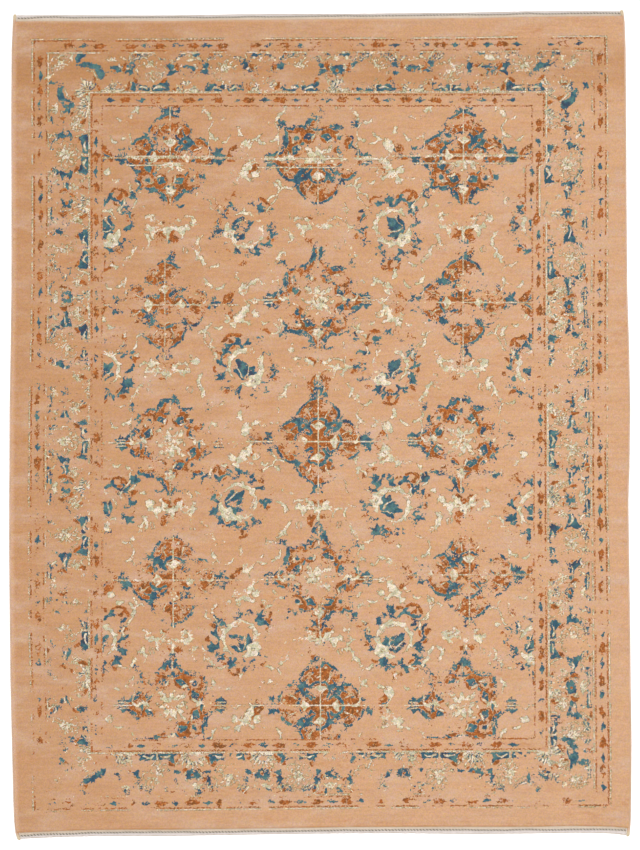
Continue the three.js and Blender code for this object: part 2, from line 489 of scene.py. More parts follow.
class Rosette:
    """Round medallion: blue seeds in rust cups round a cream snowflake."""

    def draw(self, pen: Pen) -> None:
        """Draws the medallion round the pen's place."""
        for p in pen.ring(4):
            self.bell(p)
        for p in pen.ring(4, 45):
            self.cup(p)
        for p in pen.ring(8, 22.5):
            p.fill(RUST, mirrored([(0, 18), (-4, 19), (-7.6, 24), (-5, 30), (0, 33.5)]), hold=1.2)
            p.disc(BLUE, 0, 24.6, 5.4, 3.7, lobes=4, cut=0.13, hold=1)
            p.disc(None, 1, 24.5, 0.9)
        for p in pen.ring(8):
            p.disc(BLUE, 0, 31, 2.4, 2.8, hold=0.6)
        for p in pen.ring(4):
            p.line(CREAM, [(0, 50), (0, 74)], HAIR, hold=-0.5)
        self.snowflake(pen)
        for q in pen.halves():
            self.arm(q)
        self.stalk(pen)

    def bell(self, p: Pen) -> None:
        """Draws one of the four pointed bells, with a pale spoke through it."""
        p.fill(RUST, mirrored([(-7, 31), (-12, 33), (-8, 39), (-3.5, 44), (0, 51)]), rim=2.4)
        p.fill(None, mirrored([(0, 31), (-5, 33), (-2.5, 38.5), (0, 41.5)]))
        for q in p.halves():
            q.leaf(BLUE, [(10, 33), (6.5, 40), (2.5, 46)], 1.9, hold=0.2)
        scatter(p, 21, 9, (-10, 31), (10, 47))
        p.line(CREAM, [(0, 26), (0, 50)], HAIR, hold=2)

    def cup(self, p: Pen) -> None:
        """Draws one of the four slanted cups with a blue flower over it."""
        cup = mirrored([(0, 24), (-10, 27), (-12, 34), (-7.5, 39), (-4, 37), (0, 43)])
        p.fill(RUST, cup, rim=2.4, soft=False)
        p.fill(None, mirrored([(0, 27), (-4.5, 29), (-5, 33), (0, 37.5)]))
        p.leaf(BLUE, [(-11, 31), (-7, 38), (-1, 43)], 2.2, hold=0.4)
        scatter(p, 22, 8, (-10, 27), (10, 40))
        p.disc(BLUE, 0, 51, 4.6, 4.2, lobes=5, cut=0.25)
        p.disc(None, 0, 51, 1.0)
        p.leaf(CREAM, [(-6.5, 28), (-3, 32), (2, 34)], 1.2, teeth=2)

    def snowflake(self, pen: Pen) -> None:
        """Draws the cream middle, cut through by fine gaps."""
        for p in pen.ring(8, 12):
            p.leaf(CREAM, [(0, 2.5), (0.5, 8), (0, 14)], 2.6, teeth=4, hold=1.4)
            p.disc(CREAM, 4.2, 13.5, 1.6, 1.2, turn=30, hold=1.6)
            p.leaf(CREAM, [(-2, 19), (0, 23), (3, 26)], 0.9, hold=0.4)
        for p in pen.ring(4, 45):
            p.leaf(CREAM, [(0, 10), (1, 15), (-1, 19)], 2.2, teeth=3, hold=1)
        pen.disc(None, 0, 0, 2.9)
        pen.disc(CREAM, 0, 0, 1.7)
        scatter(pen, 23, 44, (-14, -14), (14, 14))
        scatter(pen, 24, 12, (-18, -18), (18, 18), BLUE)
        scatter(pen, 25, 10, (-20, -20), (20, 20), RUST)

    def arm(self, q: Pen) -> None:
        """Draws the leaf and the striped crown at one side."""
        q.frond(CREAM, [(23, -1), (28, 3), (35, 1)], 2.4, hold=1)
        q.fill(RUST, [(35, 2), (40, 4), (45, 2), (43, -2), (37, -2)])
        for s in (-1, 1):
            q.fill(BLUE, [(44, 1 * s), (46, 6 * s), (49, 9 * s), (51, 6 * s), (55, 4 * s), (53, 1 * s)],
                   soft=False)
            q.line(CREAM, [(45, 2.8 * s), (53, 3.2 * s)], HAIR, hold=3)
        q.line(CREAM, [(40, 0), (58, 0)], HAIR, hold=3)
        q.disc(CREAM, 63, -1, 3.0, 2.7, lobes=5, cut=0.2, hold=2)
        q.disc(RUST, 63, -1, 0.9)

    def stalk(self, pen: Pen) -> None:
        """Draws the blue crown over the medallion and the blossom under it."""
        for q in pen.halves():
            q.fill(BLUE, [(0.9, 38), (4, 40), (7.5, 38), (9, 43), (6.5, 45), (7.5, 49), (4, 48), (2, 46),
                          (0.9, 49)],
                   soft=False)
            q.line(BLUE, [(4, -44), (9, -49), (15, -47)], 1.2, 0.8)
        pen.disc(CREAM, 0, -33, 4.6, 4.0, lobes=5, cut=0.3, hold=2)
        pen.disc(RUST, 0, -33, 1.5)
        pen.disc(CREAM, 0, -33, 0.7)
        for s in (-1, 1):
            pen.disc(BLUE, 36 * s, -38, 4.6, 4.0, lobes=5, cut=0.25)


class Palmette:
    """Blue palm in an open cream ring, wreathed by small arched leaves."""

    def __init__(self, seed: int) -> None:
        """Takes the seed of its wreath."""
        self.seed = seed

    def draw(self, pen: Pen, turn: float = 0.0) -> None:
        """Draws the palmette round the pen's place, its palm and ring turned inside the wreath."""
        rng = np.random.default_rng(self.seed)
        for k in range(10):
            leaf = pen.at(0, 0, k * 36 + rng.uniform(-8, 8), scale=rng.uniform(0.78, 1.0), flip=bool(k % 2))
            leaf.hold += rng.uniform(-3.4, 2.6)
            self.wreath(leaf, k)
        inner = pen.at(0, 0, turn)
        inner.disc(None, 0, 0, 18)
        self.ring_leaf(inner)
        foot = inner.at(1, -13)
        for bend, reach, wide in ((58, 16, 3.2), (30, 23, 4.4), (2, 18, 2.8), (-26, 19, 3.4)):
            q = foot.at(0, 0, bend)
            q.leaf(BLUE, [(0, 1), (1.8, reach * 0.5), (0, reach)], wide, hold=2.6)
            q.leaf(BLUE, [(0, reach * 0.45), (4.5, reach * 0.6), (6.5, reach * 0.8)], 1.9, hold=1.8)
        for bend in (44, -12):
            foot.at(0, 0, bend).line(CREAM, [(0, 3), (1, 9), (0, 16)], HAIR, hold=1.6)
        inner.disc(CREAM, 11.5, -12, 6.6, 6.2, lobes=5, cut=0.17, hold=3)
        inner.disc(BLUE, 11.5, -12, 2.2, hold=4)
        inner.disc(CREAM, 11.5, -12, 1.1, hold=4)

    def ring_leaf(self, pen: Pen) -> None:
        """Draws the cream leaf that bends round the palm, with notches along its outer edge."""
        turns = np.radians(np.arange(152, -168, -20))
        arc = [(16.4 * math.sin(a), 16.4 * math.cos(a)) for a in turns]
        pen.leaf(CREAM, arc, 2.7, teeth=15, hold=2.4, bite=0.4)
        pen.leaf(CREAM, [(16, -4), (14.5, -11), (7, -16), (-1, -17.5)], 3.4, hold=3)
        pen.leaf(CREAM, [(14, -9), (16.5, -1), (14.5, 8)], 2.9, teeth=4, hold=2.6, bite=0.3)
        for a in turns[1:-1:2]:
            leaflet = pen.at(17 * math.sin(a), 17 * math.cos(a), -math.degrees(a) + 38)
            leaflet.leaf(CREAM, [(0, 0), (0.5, 2.4), (0, 4.2)], 1.2, hold=1.4)
        pen.line(BLUE, [(0.94 * x, 0.94 * y) for x, y in arc[3:9]], 0.4, hold=-1)

    def wreath(self, p: Pen, number: int) -> None:
        """Draws one leaf of the wreath, a scroll or a forked leaf, with its rust tip."""
        if number % 3:
            p.line(BLUE, [(-9, 23), (-7.5, 29), (-2, 32), (5, 31), (9, 27), (7, 24)], 1.9, 1.3, hold=1.6)
            p.leaf(BLUE, [(-6, 29), (-8, 33), (-6, 37)], 2.1, hold=1.2)
            p.leaf(BLUE, [(4, 31), (8, 34), (9, 38)], 1.9, hold=1)
            p.leaf(RUST, [(-1, 33), (2, 37), (1, 42)], 2.3)
            p.leaf(RUST, [(-3, 29), (2, 28), (6, 28)], 1.2)
        else:
            p.fill(BLUE, [(-5, 23), (-2, 28), (-6, 32), (-2, 33), (-3, 38), (1, 36), (3, 40), (4.5, 34),
                          (8, 33),
                              (4, 30), (3, 25)], soft=False, hold=1.2)
            p.leaf(RUST, [(-5, 33), (-10, 35), (-13, 33)], 2.2)
        p.line(BLUE, [(9, 29), (13, 31), (15, 28)], 1.2, 0.8)
        if number % 4 == 1:
            p.line(RUST, [(-9, 37), (-6, 42), (2, 44), (8, 41)], 1.5, 2.1)


class FeatherPair:
    """Cream blossom between two medallions of one column, with saw-toothed leaves to both sides."""

    def draw(self, pen: Pen) -> None:
        """Draws the blossom and its leaves round the pen's place."""
        for q in pen.halves():
            q.leaf(RUST, [(3, -5), (8, -9), (7, -17)], 3.6)
            q.leaf(RUST, [(2, 7), (6, 11), (12, 13)], 2.2)
            q.frond(CREAM, [(2, 0), (8, 4), (15, 1.5), (23, 5)], 3.9, pairs=5, hold=3)
            q.frond(CREAM, [(4, 3), (8, 9), (14, 12)], 2.3, pairs=2, hold=1.6)
            q.leaf(CREAM, [(12, 1), (15, -4), (14, -8)], 1.3, hold=0.5)
            q.line(BLUE, [(1, -12), (4, -19), (2, -25)], 1.0, 1.4)
            scatter(q, 31, 5, (2, -16), (10, -4))
        pen.disc(CREAM, 0, 1, 4.2, 3.4, lobes=5, cut=0.3, hold=2)
        pen.leaf(CREAM, [(0, -2), (0, -11)], 1.6, teeth=3, hold=2)
        scatter(pen, 32, 10, (-16, -3), (16, 8))


class FeatherStem:
    """Cream bell and feathered leaves between two medallions of one row."""

    def draw(self, pen: Pen) -> None:
        """Draws the bell and the leaves round the pen's place."""
        pen.at(2, 13, -20).fill(CREAM, [(-2.5, -6), (-4.5, -2), (-4, 3), (-2, 7), (-0.5, 3.5), (1, 7.5),
                                        (2.5, 3.5),
                                            (4.5, 6), (4.8, 0), (2.5, -6)], hold=2)
        leaves = (
            ([(8, -1), (3, -9), (-3, -16), (-11, -26)], 4.2, 5), ([(-3, -14), (3, -19), (10, -22)], 2.6, 2),
            ([(-1, 22), (-5, 27), (-4, 33)], 2.4, 2), ([(7, 18), (13, 20), (18, 25)], 2.0, 2),
        )
        for path, wide, pairs in leaves:
            pen.frond(CREAM, path, wide, pairs=pairs, hold=2.4)
        pen.line(CREAM, [(1, 6), (4, 2), (7, -2)], 0.6, HAIR, hold=0.5)
        scatter(pen, 41, 14, (-10, -24), (9, 26))


class Spray:
    """Loose cream stems, leaves and buds that fill the ground between the motifs."""

    def sickle(self, pen: Pen) -> None:
        """Draws one curved leaf."""
        pen.frond(CREAM, [(0, -8), (3, -3), (2, 3), (-2, 8)], 2.2, hold=2)

    def forked(self, pen: Pen) -> None:
        """Draws a stem that forks into two leaves."""
        pen.line(CREAM, [(0, -10), (1, -4), (0, 2)], 0.7, 0.9, hold=1)
        pen.frond(CREAM, [(0, 2), (-5, 6), (-11, 5)], 2.0, pairs=2, hold=2)
        pen.frond(CREAM, [(0, 2), (5, 7), (12, 9)], 2.0, pairs=2, hold=2)
        pen.leaf(CREAM, [(0, -10), (-3, -16), (0, -22)], 1.5, hold=1)

    def chain(self, pen: Pen) -> None:
        """Draws a broken stem with leaves branching off it by turns."""
        pen.frond(CREAM, [(-2, 15), (1, 9), (2, 2)], 2.2, hold=2)
        pen.line(CREAM, [(3, 0), (-3, -6), (-5, -12)], 0.6, hold=0.4)
        pen.frond(CREAM, [(-4, -9), (-3, -15), (2, -20)], 2.0, hold=2)
        pen.leaf(CREAM, [(4, -23), (9, -24), (14, -20)], 1.3, hold=1)
        pen.frond(CREAM, [(5, 0), (10, -2), (15, 0)], 1.7, pairs=2, hold=1)

    def hook(self, pen: Pen) -> None:
        """Draws a bent stem with leaves at its elbows."""
        pen.leaf(CREAM, [(-14, 4), (-9, 1), (-3, 3)], 1.5, hold=1)
        pen.frond(CREAM, [(2, 2), (7, -4), (8, -13)], 2.1, hold=1.6)
        pen.line(CREAM, [(7, -15), (3, -20), (-1, -25)], 0.7, 0.5, hold=0.8)
        pen.frond(CREAM, [(-2, -26), (-5, -32), (-3, -38)], 1.9, hold=1)

    def bell(self, pen: Pen) -> None:
        """Draws a small open bell."""
        pen.fill(CREAM, [(-1.5, -4), (-3.4, -1), (-3, 3), (-1, 1.4), (0.4, 4.4), (1.6, 1.4), (3.6, 3),
                         (3.2, -2),
                             (1.4, -4)], hold=1.5)

    def bud(self, pen: Pen) -> None:
        """Draws a small bud."""
        pen.disc(CREAM, 0, 0, 2.9, 2.0, lobes=3, cut=0.25, hold=1)

    def stalk(self, pen: Pen) -> None:
        """Draws a thin stalk with one leaf."""
        pen.line(CREAM, [(0, -10), (-1, 0), (1, 10)], HAIR, hold=1)
        pen.leaf(CREAM, [(0, -10), (-3, -14), (-9, -15)], 1.3, hold=1)

    def sprig(self, pen: Pen) -> None:
        """Draws two short stalks side by side."""
        for q in pen.halves():
            q.line(CREAM, [(1.6, -3), (2.2, 0), (1.4, 3)], HAIR, hold=2)


class BorderRepeat:
    """One repeat of the main border, drawn outward from its inner line."""

    def __init__(self, pitch: float, rust: float = 0.0) -> None:
        """Takes the length of the repeat, in squares, and how much less its rust leaves are worn."""
        self.pitch, self.rust = pitch, rust

    def blossom(self, pen: Pen, size: float = 1.0) -> None:
        """Draws a flower of outlined petals round a blue eye."""
        flower = pen.at(0, 0, scale=size)
        for p in flower.ring(8):
            petal = mirrored([(-1.9, 5), (-4.1, 9), (-3, 12.6), (0, 13.8)])
            p.fill(None, petal, rim=0.75, rim_dye=CREAM, hold=-1.0)
            p.leaf(CREAM, [(0, 6.5), (0, 11)], 0.8, hold=-0.6)
        for p in flower.ring(6):
            p.leaf(CREAM, [(0, 1.4), (0, 5.8)], 1.1, hold=1.2)
        flower.disc(BLUE, 0, 0, 1.7, hold=1.2)
        flower.disc(CREAM, 0, 0, 0.8, hold=1.2)

    def fan(self, pen: Pen, size: float = 1.0) -> None:
        """Draws a fan of narrow petals on a dark ground, standing on a line."""
        for turn in np.linspace(-78, 78, 9):
            p = pen.at(0, 0.6, turn)
            p.leaf(BLUE, [(1.2, 2), (1.6, 7.5 * size), (1.2, 12 * size)], 1.0 * size)
            p.leaf(CREAM, [(0, 1), (0.3, 7 * size), (0, 13.5 * size)], 1.0 * size, hold=0.3)
            p.disc(CREAM, 0, 14.6 * size, 0.9)
        for q in pen.halves():
            q.leaf(RUST, [(12, 2), (15, 6), (15, 11)], 2.0, hold=self.rust)
            q.leaf(RUST, [(5, 16), (8, 18), (9, 21)], 1.4, hold=self.rust)

    def lunette(self, q: Pen) -> None:
        """Draws one blue half-moon with a pale leaf in it."""
        q.fill(BLUE, [(1.2, 0.8), (17, 0.8), (20.5, 2), (19, 8), (16.5, 14), (13, 10), (8, 7), (1.2, 7.5)],
               soft=False, hold=3)
        q.leaf(CREAM, [(3, 3), (9, 5.2), (15, 3)], 0.9, hold=2)
        q.line(CREAM, [(24, 1), (21, 7), (18, 14)], HAIR, hold=1)
        q.leaf(RUST, [(12, 9), (15, 13), (18, 15)], 1.8, hold=self.rust)

    def scrolls(self, q: Pen, half: float) -> None:
        """Draws the blue scrolls that ring the rosette, and what lies outside them."""
        q.fill(BLUE, [(17, 17), (22, 18.5), (27, 21), (34, 21), (39, 24), (38, 28), (31, 26), (25, 28),
                      (19, 31),
                          (15, 28), (18, 23)], soft=False, hold=1.3)
        q.leaf(CREAM, [(20, 23), (27, 24.5), (35, 24.5)], 0.8)
        q.fill(BLUE, [(4, 38), (8, 35.5), (13, 33), (18, 29), (21, 33), (18, 36), (15, 40), (9, 39), (6, 42)],
               soft=False, hold=1.3)
        q.line(CREAM, [(3, 40), (10, 37), (16, 33), (21, 36)], HAIR)
        q.leaf(RUST, [(13, 37), (18, 41), (24, 41)], 1.6, hold=self.rust)
        q.line(CREAM, [(14, 43), (19, 38), (22, 31)], HAIR)
        q.leaf(CREAM, [(25, 32), (29, 36), (30, 42)], 1.4, teeth=3)
        q.fill(BLUE, [(27, 38), (31, 36), (half - 2, 38), (half - 4, 42), (26, 42)], soft=False)
        q.line(CREAM, [(30, 40), (half - 4, 39.5)], HAIR)
        q.line(CREAM, [(24, 5), (27, 10), (25, 15), (28, 18)], HAIR)
        scatter(q, 51, 6, (14, 8), (half, 42), CREAM)
        scatter(q, 52, 8, (14, 8), (half, 42), RUST)
        scatter(q, 53, 14, (3, 8), (half, 42), BLUE)
        scatter(q, 54, 12, (0, 8), (half, 42))

    def draw(self, pen: Pen) -> None:
        """Draws the repeat round the pen's place."""
        half = self.pitch / 2
        for q in pen.halves():
            self.scrolls(q, half)
            self.lunette(q)
        self.blossom(pen.at(0, 24))
        pen.line(CREAM, [(0, 0), (0, 9)], HAIR, hold=2)
        pen.fill(None, [(-2.5, 9), (0, 13), (2.5, 9), (0, 7)], rim=0.7, rim_dye=CREAM)
        for q in pen.halves():
            p = q.at(half, 0)
            if half > 40:
                q.fill(BLUE, [(27, 10), (32, 7), (36, 12), (33, 16), (28, 15)], soft=False)
                self.blossom(q.at(31, 13), 0.5)
            self.fan(p)
            p.disc(BLUE, 0, 22, 5.6, 4.6, lobes=5, cut=0.28)
            p.disc(RUST, 0, 22, 1.6)
            p.line(CREAM, [(-7, 18), (-9, 24), (-5, 28)], HAIR)
            p.leaf(RUST, [(-9, 22), (-12, 26), (-10, 31)], 1.9, hold=self.rust)
            for turn in (-66, -40, -14, 14, 40, 66):
                p.at(0, 31, turn).leaf(CREAM, [(0, 1), (0, 8)], 0.8)


class Guard:
    """Narrow stripe of rust lozenges and blue bars along the main border."""

    def __init__(self, seed: int) -> None:
        """Takes the seed of its uneven spacing."""
        self.seed = seed

    def places(self, start: float, end: float, pitch: float = 15.5) -> Iterator[tuple[float, int]]:
        """Places of the marks along the stripe, lozenges and bars by turns."""
        rng = np.random.default_rng(self.seed)
        for k in range(int((end - start) / pitch)):
            yield start + (k + 0.5) * pitch + rng.uniform(-0.8, 0.8), k % 2

    def mark(self, pen: Pen, kind: int) -> None:
        """Draws one lozenge or bar."""
        if kind:
            pen.disc(RUST, 0, 0, 6.6, 2.8, lobes=6, cut=0.16, hold=1.2)
            pen.disc(None, 0, 0, 0.8, 0.6)
        else:
            pen.disc(BLUE, 0, 0, 4.9, 1.8, lobes=4, cut=0.2)
            pen.disc(BLUE, 0, 0, 2.0, 2.5)


@dataclass(frozen=True)
class Lines:
    """Lines of the border on one side, in squares from the middle of the rug, outermost first.

    The last two fields say how its inner and its outer stripe stray along the side.
    """

    beyond: float
    outer: float
    outer_marks: float
    outer_inner: float
    edge_out: float
    edge_in: float
    rust_in: float
    marks: float
    inner: float
    drift: tuple[Point, ...]
    drift_out: tuple[Point, ...]

    def drift_of(self, line: str) -> tuple[Point, ...]:
        """How a line strays along its side; the outer stripe strays apart from the inner one."""
        return self.drift if line in ("edge_in", "rust_in", "marks", "inner") else self.drift_out

    def at(self, line: str, along: float) -> float:
        """Where a line runs, at a place along its side."""
        rows = np.asarray(self.drift_of(line), float)
        return getattr(self, line) + float(np.interp(along, rows[:, 0], rows[:, 1]))


LINES = {
    Edge.LEFT: Lines(-290.1, -288.2, -281.8, -275.6, -273.8, -231.0, -228.5, -224.0, -218.3,
                     ((-400, 0), (400, 0)),
                  ((-400, 0.9), (-266, 1.0), (-206, -0.4), (34, 0.0), (94, 1.0), (214, 1.8), (400, 1.3))),
    Edge.RIGHT: Lines(288.6, 286.6, 281.0, 274.6, 272.4, 226.0, 223.4, 218.2, 211.7,
                   ((-400, 2.4), (-255, 2.6), (-135, 1.8), (-15, 1.3), (160, 0), (205, 0), (209, -6.8), (258, -6.8),
                    (262, 0), (400, 0)),
                   ((-400, 1.0), (-266, 0.2), (-206, 0.4), (-110, 0.0), (-40, -1.6), (60, -1.7), (154, 0.4),
                    (274, 1.6), (400, 0.8))),
    Edge.TOP: Lines(387.0, 385.3, 379.9, 374.8, 372.8, 332.4, 329.6, 324.2, 318.5, ((-290, 0.5), (290, 0.5)),
                 ((-290, 0.8), (-120, 1.0), (60, 0.4), (290, 0.4))),
    Edge.FOOT: Lines(-383.7, -381.8, -376.6, -371.6, -369.6, -326.6, -324.8, -319.5, -314.0,
                  ((-290, -1.4), (290, 1.3)), ((-290, -1.8), (0, -1.2), (290, -0.7))),
}

# Places of the medallions, row by row from the top; every other one is a lobed cross
MEDALLIONS = (
    ((-150, 267), (-2.5, 265), (143, 269)),
    ((-155.5, 120), (-2.5, 125), (142.5, 122.5)),
    ((-150, -18), (-2, -16.5), (140.5, -15.5)),
    ((-147, -155), (-1.5, -154), (149, -149.5)),
    ((-148, -280), (0, -280), (142, -280)),
)
# Places of the palmettes and the turn of the palm in each, in degrees
PALMETTES = (
    ((-218, 198, 80), (-76, 196, -110), (72, 198, 85), (219, 200, 0)),
    ((-218, 56, 0), (-75, 58, -12), (70, 59, 0), (214, 56, 40)),
    ((-220, -84, 60), (-82, -76, -85), (72, -80, -65), (216, -84, 20)),
    ((-222, -216, 0), (-80, -214, 10), (74, -214, 0), (216, -218, -60)),
)
# Loose sprays round a palmette and a medallion: place in squares, turn in degrees, size (below nought: mirrored)
ROUND_PALMETTE = (
    (Spray.forked, -38, 34, 30, 0.8), (Spray.sickle, 44, -6, 20, 1), (Spray.forked, 36, 40, -40, 0.8),
    (Spray.sickle, -44, -14, 160, 1), (Spray.bell, -50, 6, 40, 1), (Spray.bud, 30, -42, 0, 1),
    (Spray.stalk, 46, 14, 0, 1),
)
ROUND_MEDALLION = (
    (Spray.chain, 40, 36, 20, 1), (Spray.sickle, 30, 52, 10, 1), (Spray.sprig, -20, 54, 0, 1),
    (Spray.hook, 46, -24, 0, -0.85), (Spray.stalk, 40, 14, 0, 1), (Spray.bell, 62, -14, 70, 1),
    (Spray.bud, 27, -50, 0, 1), (Spray.sickle, 20, -60, 70, 0.7),
)

# Places, in squares, with their reach and how much more of the drawing is kept there
ZONES = (
    (-150, 262, 30, 0.0), (0, 268, 34, 1.5), (150, 262, 34, 1.0), (-75, 198, 34, 2.4), (75, 198, 34, 3.0),
    (-218, 198, 30, 2.5), (212, 180, 28, 1.5), (-150, 118, 36, 3.0), (0, 122, 36, 2.0), (143, 122, 40, 2.5),
    (-220, 60, 40, -3.0), (-75, 56, 30, 4.0), (70, 60, 30, -3.2), (212, 55, 40, -2.0), (-150, -18, 38, 2.4),
    (8, -10, 40, 2.4), (-26, -32, 20, -2.5), (140, -16, 38, 3.0), (75, -16, 22, -2.0),
    (-222, -82, 30, -0.5), (-82, -76, 30, 2.0),
    (72, -80, 34, 3.0), (215, -85, 30, 1.5), (-147, -155, 34, 0.8), (0, -154, 38, 2.2), (149, -156, 40, 1.0),
    (172, -112, 28, -3.5), (284, -60, 50, 2.0), (-284, 60, 60, 1.5), (-290, 375, 30, 3.0), (30, 381, 90, 1.5),
    (-285, -380, 50, -4.5), (285, 384, 22, 4.0), (150, -380, 44, -4.0), (240, -380, 40, -3.0), (60, -380, 36, -3.0),
    (-200, -378, 34, -1.5), (0, -54, 22, -2.5), (-288, -345, 46, -4.0),
    (-82, -212, 12, -5.0), (-74, 60, 10, -2.0), (214, -214, 24, 1.5),
    (-222, -216, 32, 1.5), (-80, -214, 34, 3.3), (74, -220, 36, 3.6), (216, -218, 30, 0.0), (-148, -280, 38, -0.4),
    (0, -274, 42, 3.2), (142, -280, 42, -0.4), (-35, 200, 26, -3.0), (-40, -215, 20, -4.0), (110, 60, 20, -3.0),
    (-112, -110, 26, -3.0), (40, -105, 22, -2.5), (-190, 152, 26, -3.0), (30, 60, 22, -3.0), (182, -60, 22, -2.5),
    (-110, 20, 20, -2.5), (-170, 350, 60, 2.5), (150, 350, 66, 1.5), (250, 255, 22, 4.0), (252, 150, 34, 4.0),
    (246, 40, 50, 1.5), (254, -90, 60, 0.5), (250, -300, 50, 1.5), (150, -348, 70, 1.5), (-55, -348, 42, 1.5),
    (-110, -348, 40, 0.5), (-252, 300, 44, 1.0), (-252, 90, 42, 2.5), (-240, 178, 30, -2.0), (-250, -60, 40, -2.0),
    (-252, -240, 50, -1.5), (20, 350, 50, -1.5),
)


class RugDrawing:
    """The whole drawing of the rug, field and borders, before the shearing wears it away."""

    def __init__(self, chart: Chart) -> None:
        """Takes the bare chart."""
        self.chart = chart

    def wear_at(self, shift: Point, fine: float) -> np.ndarray:
        """How much of the drawing is kept, in squares; below nought it is sheared bare.

        Args:
            shift: How far the noise is moved, so that no two parts wear alike.
            fine: Strength of its finest layer.

        Returns:
            The depth kept at each knot.
        """
        x, y = (axis + moved for axis, moved in zip(self.chart.steady, shift))
        layers = ((21, 60.0, 1.2, 2.0), (22, 19.0, 1.3, 3.8), (23, 8.0, 1.45, 5.6), (24, 4.2, 1.4, fine))
        return sum(weight * Mottle(seed, patch, stretch, 292.0).at(x, y) for seed, patch, stretch,
                   weight in layers)

    def zones(self) -> np.ndarray:
        """Listed places where the shearing spared the drawing, or took more of it."""
        x, y = self.chart.steady
        kept = np.zeros(x.shape)
        for across, along, reach, amount in ZONES:
            kept += amount * ease(1.35 - np.hypot(x - across, y - along) / reach)
        return kept

    def draw(self) -> None:
        """Draws the field, clears the borders' ground, then draws the borders."""
        self.chart.wear = self.wear_at((146, 0), 3.2) + self.zones() - 0.3
        self.draw_field()
        self.clear_border()
        self.chart.wear = self.wear_at((546, 300), 4.6) + self.zones() - 0.1
        self.draw_borders()
        self.draw_corners()
        self.draw_guards()
        self.draw_lines()

    def draw_sprays(self, pen: Pen, sprays: Sequence[tuple[Callable, float, float, float, float]]) -> None:
        """Draws loose sprays round a motif, those of a negative size mirrored."""
        for draw, x, y, turn, size in sprays:
            draw(Spray(), pen.at(x, y, turn, flip=size < 0, scale=abs(size)))

    def draw_field(self) -> None:
        """Draws the lattice of medallions and palmettes, and the sprays between them."""
        for j, row in enumerate(PALMETTES):
            for i, (across, along, turn) in enumerate(row):
                pen = Pen(self.chart, (across, along), flip=i % 2 == 0)
                Palmette(10 * j + i).draw(pen, turn if i % 2 else -turn)
                self.draw_sprays(pen, ROUND_PALMETTE)
        for j, row in enumerate(MEDALLIONS[1:], 1):
            for i, place in enumerate(row):
                self.medallion(i + j).draw(Pen(self.chart, place))
        self.draw_joined_row()
        for place in (place for row in MEDALLIONS for place in row):
            for pen in Pen(self.chart, place).halves():
                self.draw_sprays(pen, ROUND_MEDALLION)
        for upper, lower in zip(MEDALLIONS, MEDALLIONS[1:]):
            for pair in zip(upper, lower):
                FeatherPair().draw(Pen(self.chart, tuple(np.mean(pair, axis=0))))
        for row in MEDALLIONS:
            for pair, flip in zip(zip(row, row[1:]), (False, True)):
                FeatherStem().draw(Pen(self.chart, tuple(np.mean(pair, axis=0)), flip=flip))

    def medallion(self, number: int) -> "LobedCross | Rosette":
        """The medallion that falls on an odd or even place of the lattice."""
        return LobedCross() if number % 2 else Rosette()

    def draw_joined_row(self) -> None:
        """Draws the uppermost row, where the chart was joined one motif out of step."""
        for i, place in enumerate(MEDALLIONS[0]):
            join = place[1] - 4
            for number, band in ((i + 1, (join, ENDLESS)), (i, (-ENDLESS, join))):
                self.chart.band = band
                self.medallion(number).draw(Pen(self.chart, place))
        self.chart.band = (-ENDLESS, ENDLESS)
        for place, half in zip(MEDALLIONS[0], (44, 60, 50)):
            for along, hold in ((1.5, 0.8), (-7.5, 0.2)):
                Pen(self.chart, place).line(CREAM, [(-half, along), (half, along)], HAIR, hold=hold)

    def clear_border(self) -> None:
        """Leaves the ground bare outside the innermost lines."""
        x, y = self.chart.steady
        right = np.interp(y, *np.transpose(LINES[Edge.RIGHT].drift)) + LINES[Edge.RIGHT].inner
        inside = np.minimum(x - LINES[Edge.LEFT].inner, right - x)
        inside = np.minimum(inside, np.minimum(y - LINES[Edge.FOOT].inner, LINES[Edge.TOP].inner - y))
        for layer in self.chart.dyes.values():
            np.minimum(layer, inside, out=layer)

    def draw_borders(self) -> None:
        """Draws the repeats of the main border on all four sides."""
        for k in range(6):
            across = -169.5 + 74.9 * k
            BorderRepeat(74.9).draw(Pen(self.chart, (across, LINES[Edge.TOP].at("edge_in", across))))
            across = -163 + 70.5 * k
            BorderRepeat(70.5, -4.0).draw(Pen(self.chart, (across, LINES[Edge.FOOT].at("edge_in", across)),
                                              turn=180))
        for k in range(7):
            along = 260.5 - 95 * k
            BorderRepeat(95.0).draw(Pen(self.chart, (LINES[Edge.RIGHT].at("edge_in", along), along),
                                        turn=-90))
            along = 270 - 95 * k
            BorderRepeat(95.0, 1.5).draw(Pen(self.chart, (LINES[Edge.LEFT].at("edge_in", along), along),
                                             turn=90))

    def draw_corners(self) -> None:
        """Draws a slanted flower in each corner of the main border, with a blue leaf bent round it."""
        corners = ((Edge.LEFT, Edge.TOP, 45), (Edge.RIGHT, Edge.TOP, -45), (Edge.RIGHT, Edge.FOOT, -135),
                   (Edge.LEFT, Edge.FOOT, 135))
        for side, end, turn in corners:
            pen = Pen(self.chart, (LINES[side].edge_in, LINES[end].edge_in), turn=turn)
            repeat = BorderRepeat(60.0)
            repeat.fan(pen.at(0, 1), 1.1)
            for q in pen.halves():
                q.line(BLUE, [(22, 4), (24, 12), (20, 21), (12, 27)], 4.0, 2.4, hold=2)
                q.line(CREAM, [(17, 4), (18, 12), (14, 19)], HAIR)
                q.leaf(BLUE, [(14, 30), (22, 34), (31, 30)], 3.2, hold=1)
                q.leaf(CREAM, [(10, 34), (16, 40), (24, 42)], 1.3)
            repeat.blossom(pen.at(0, 40), 0.8)

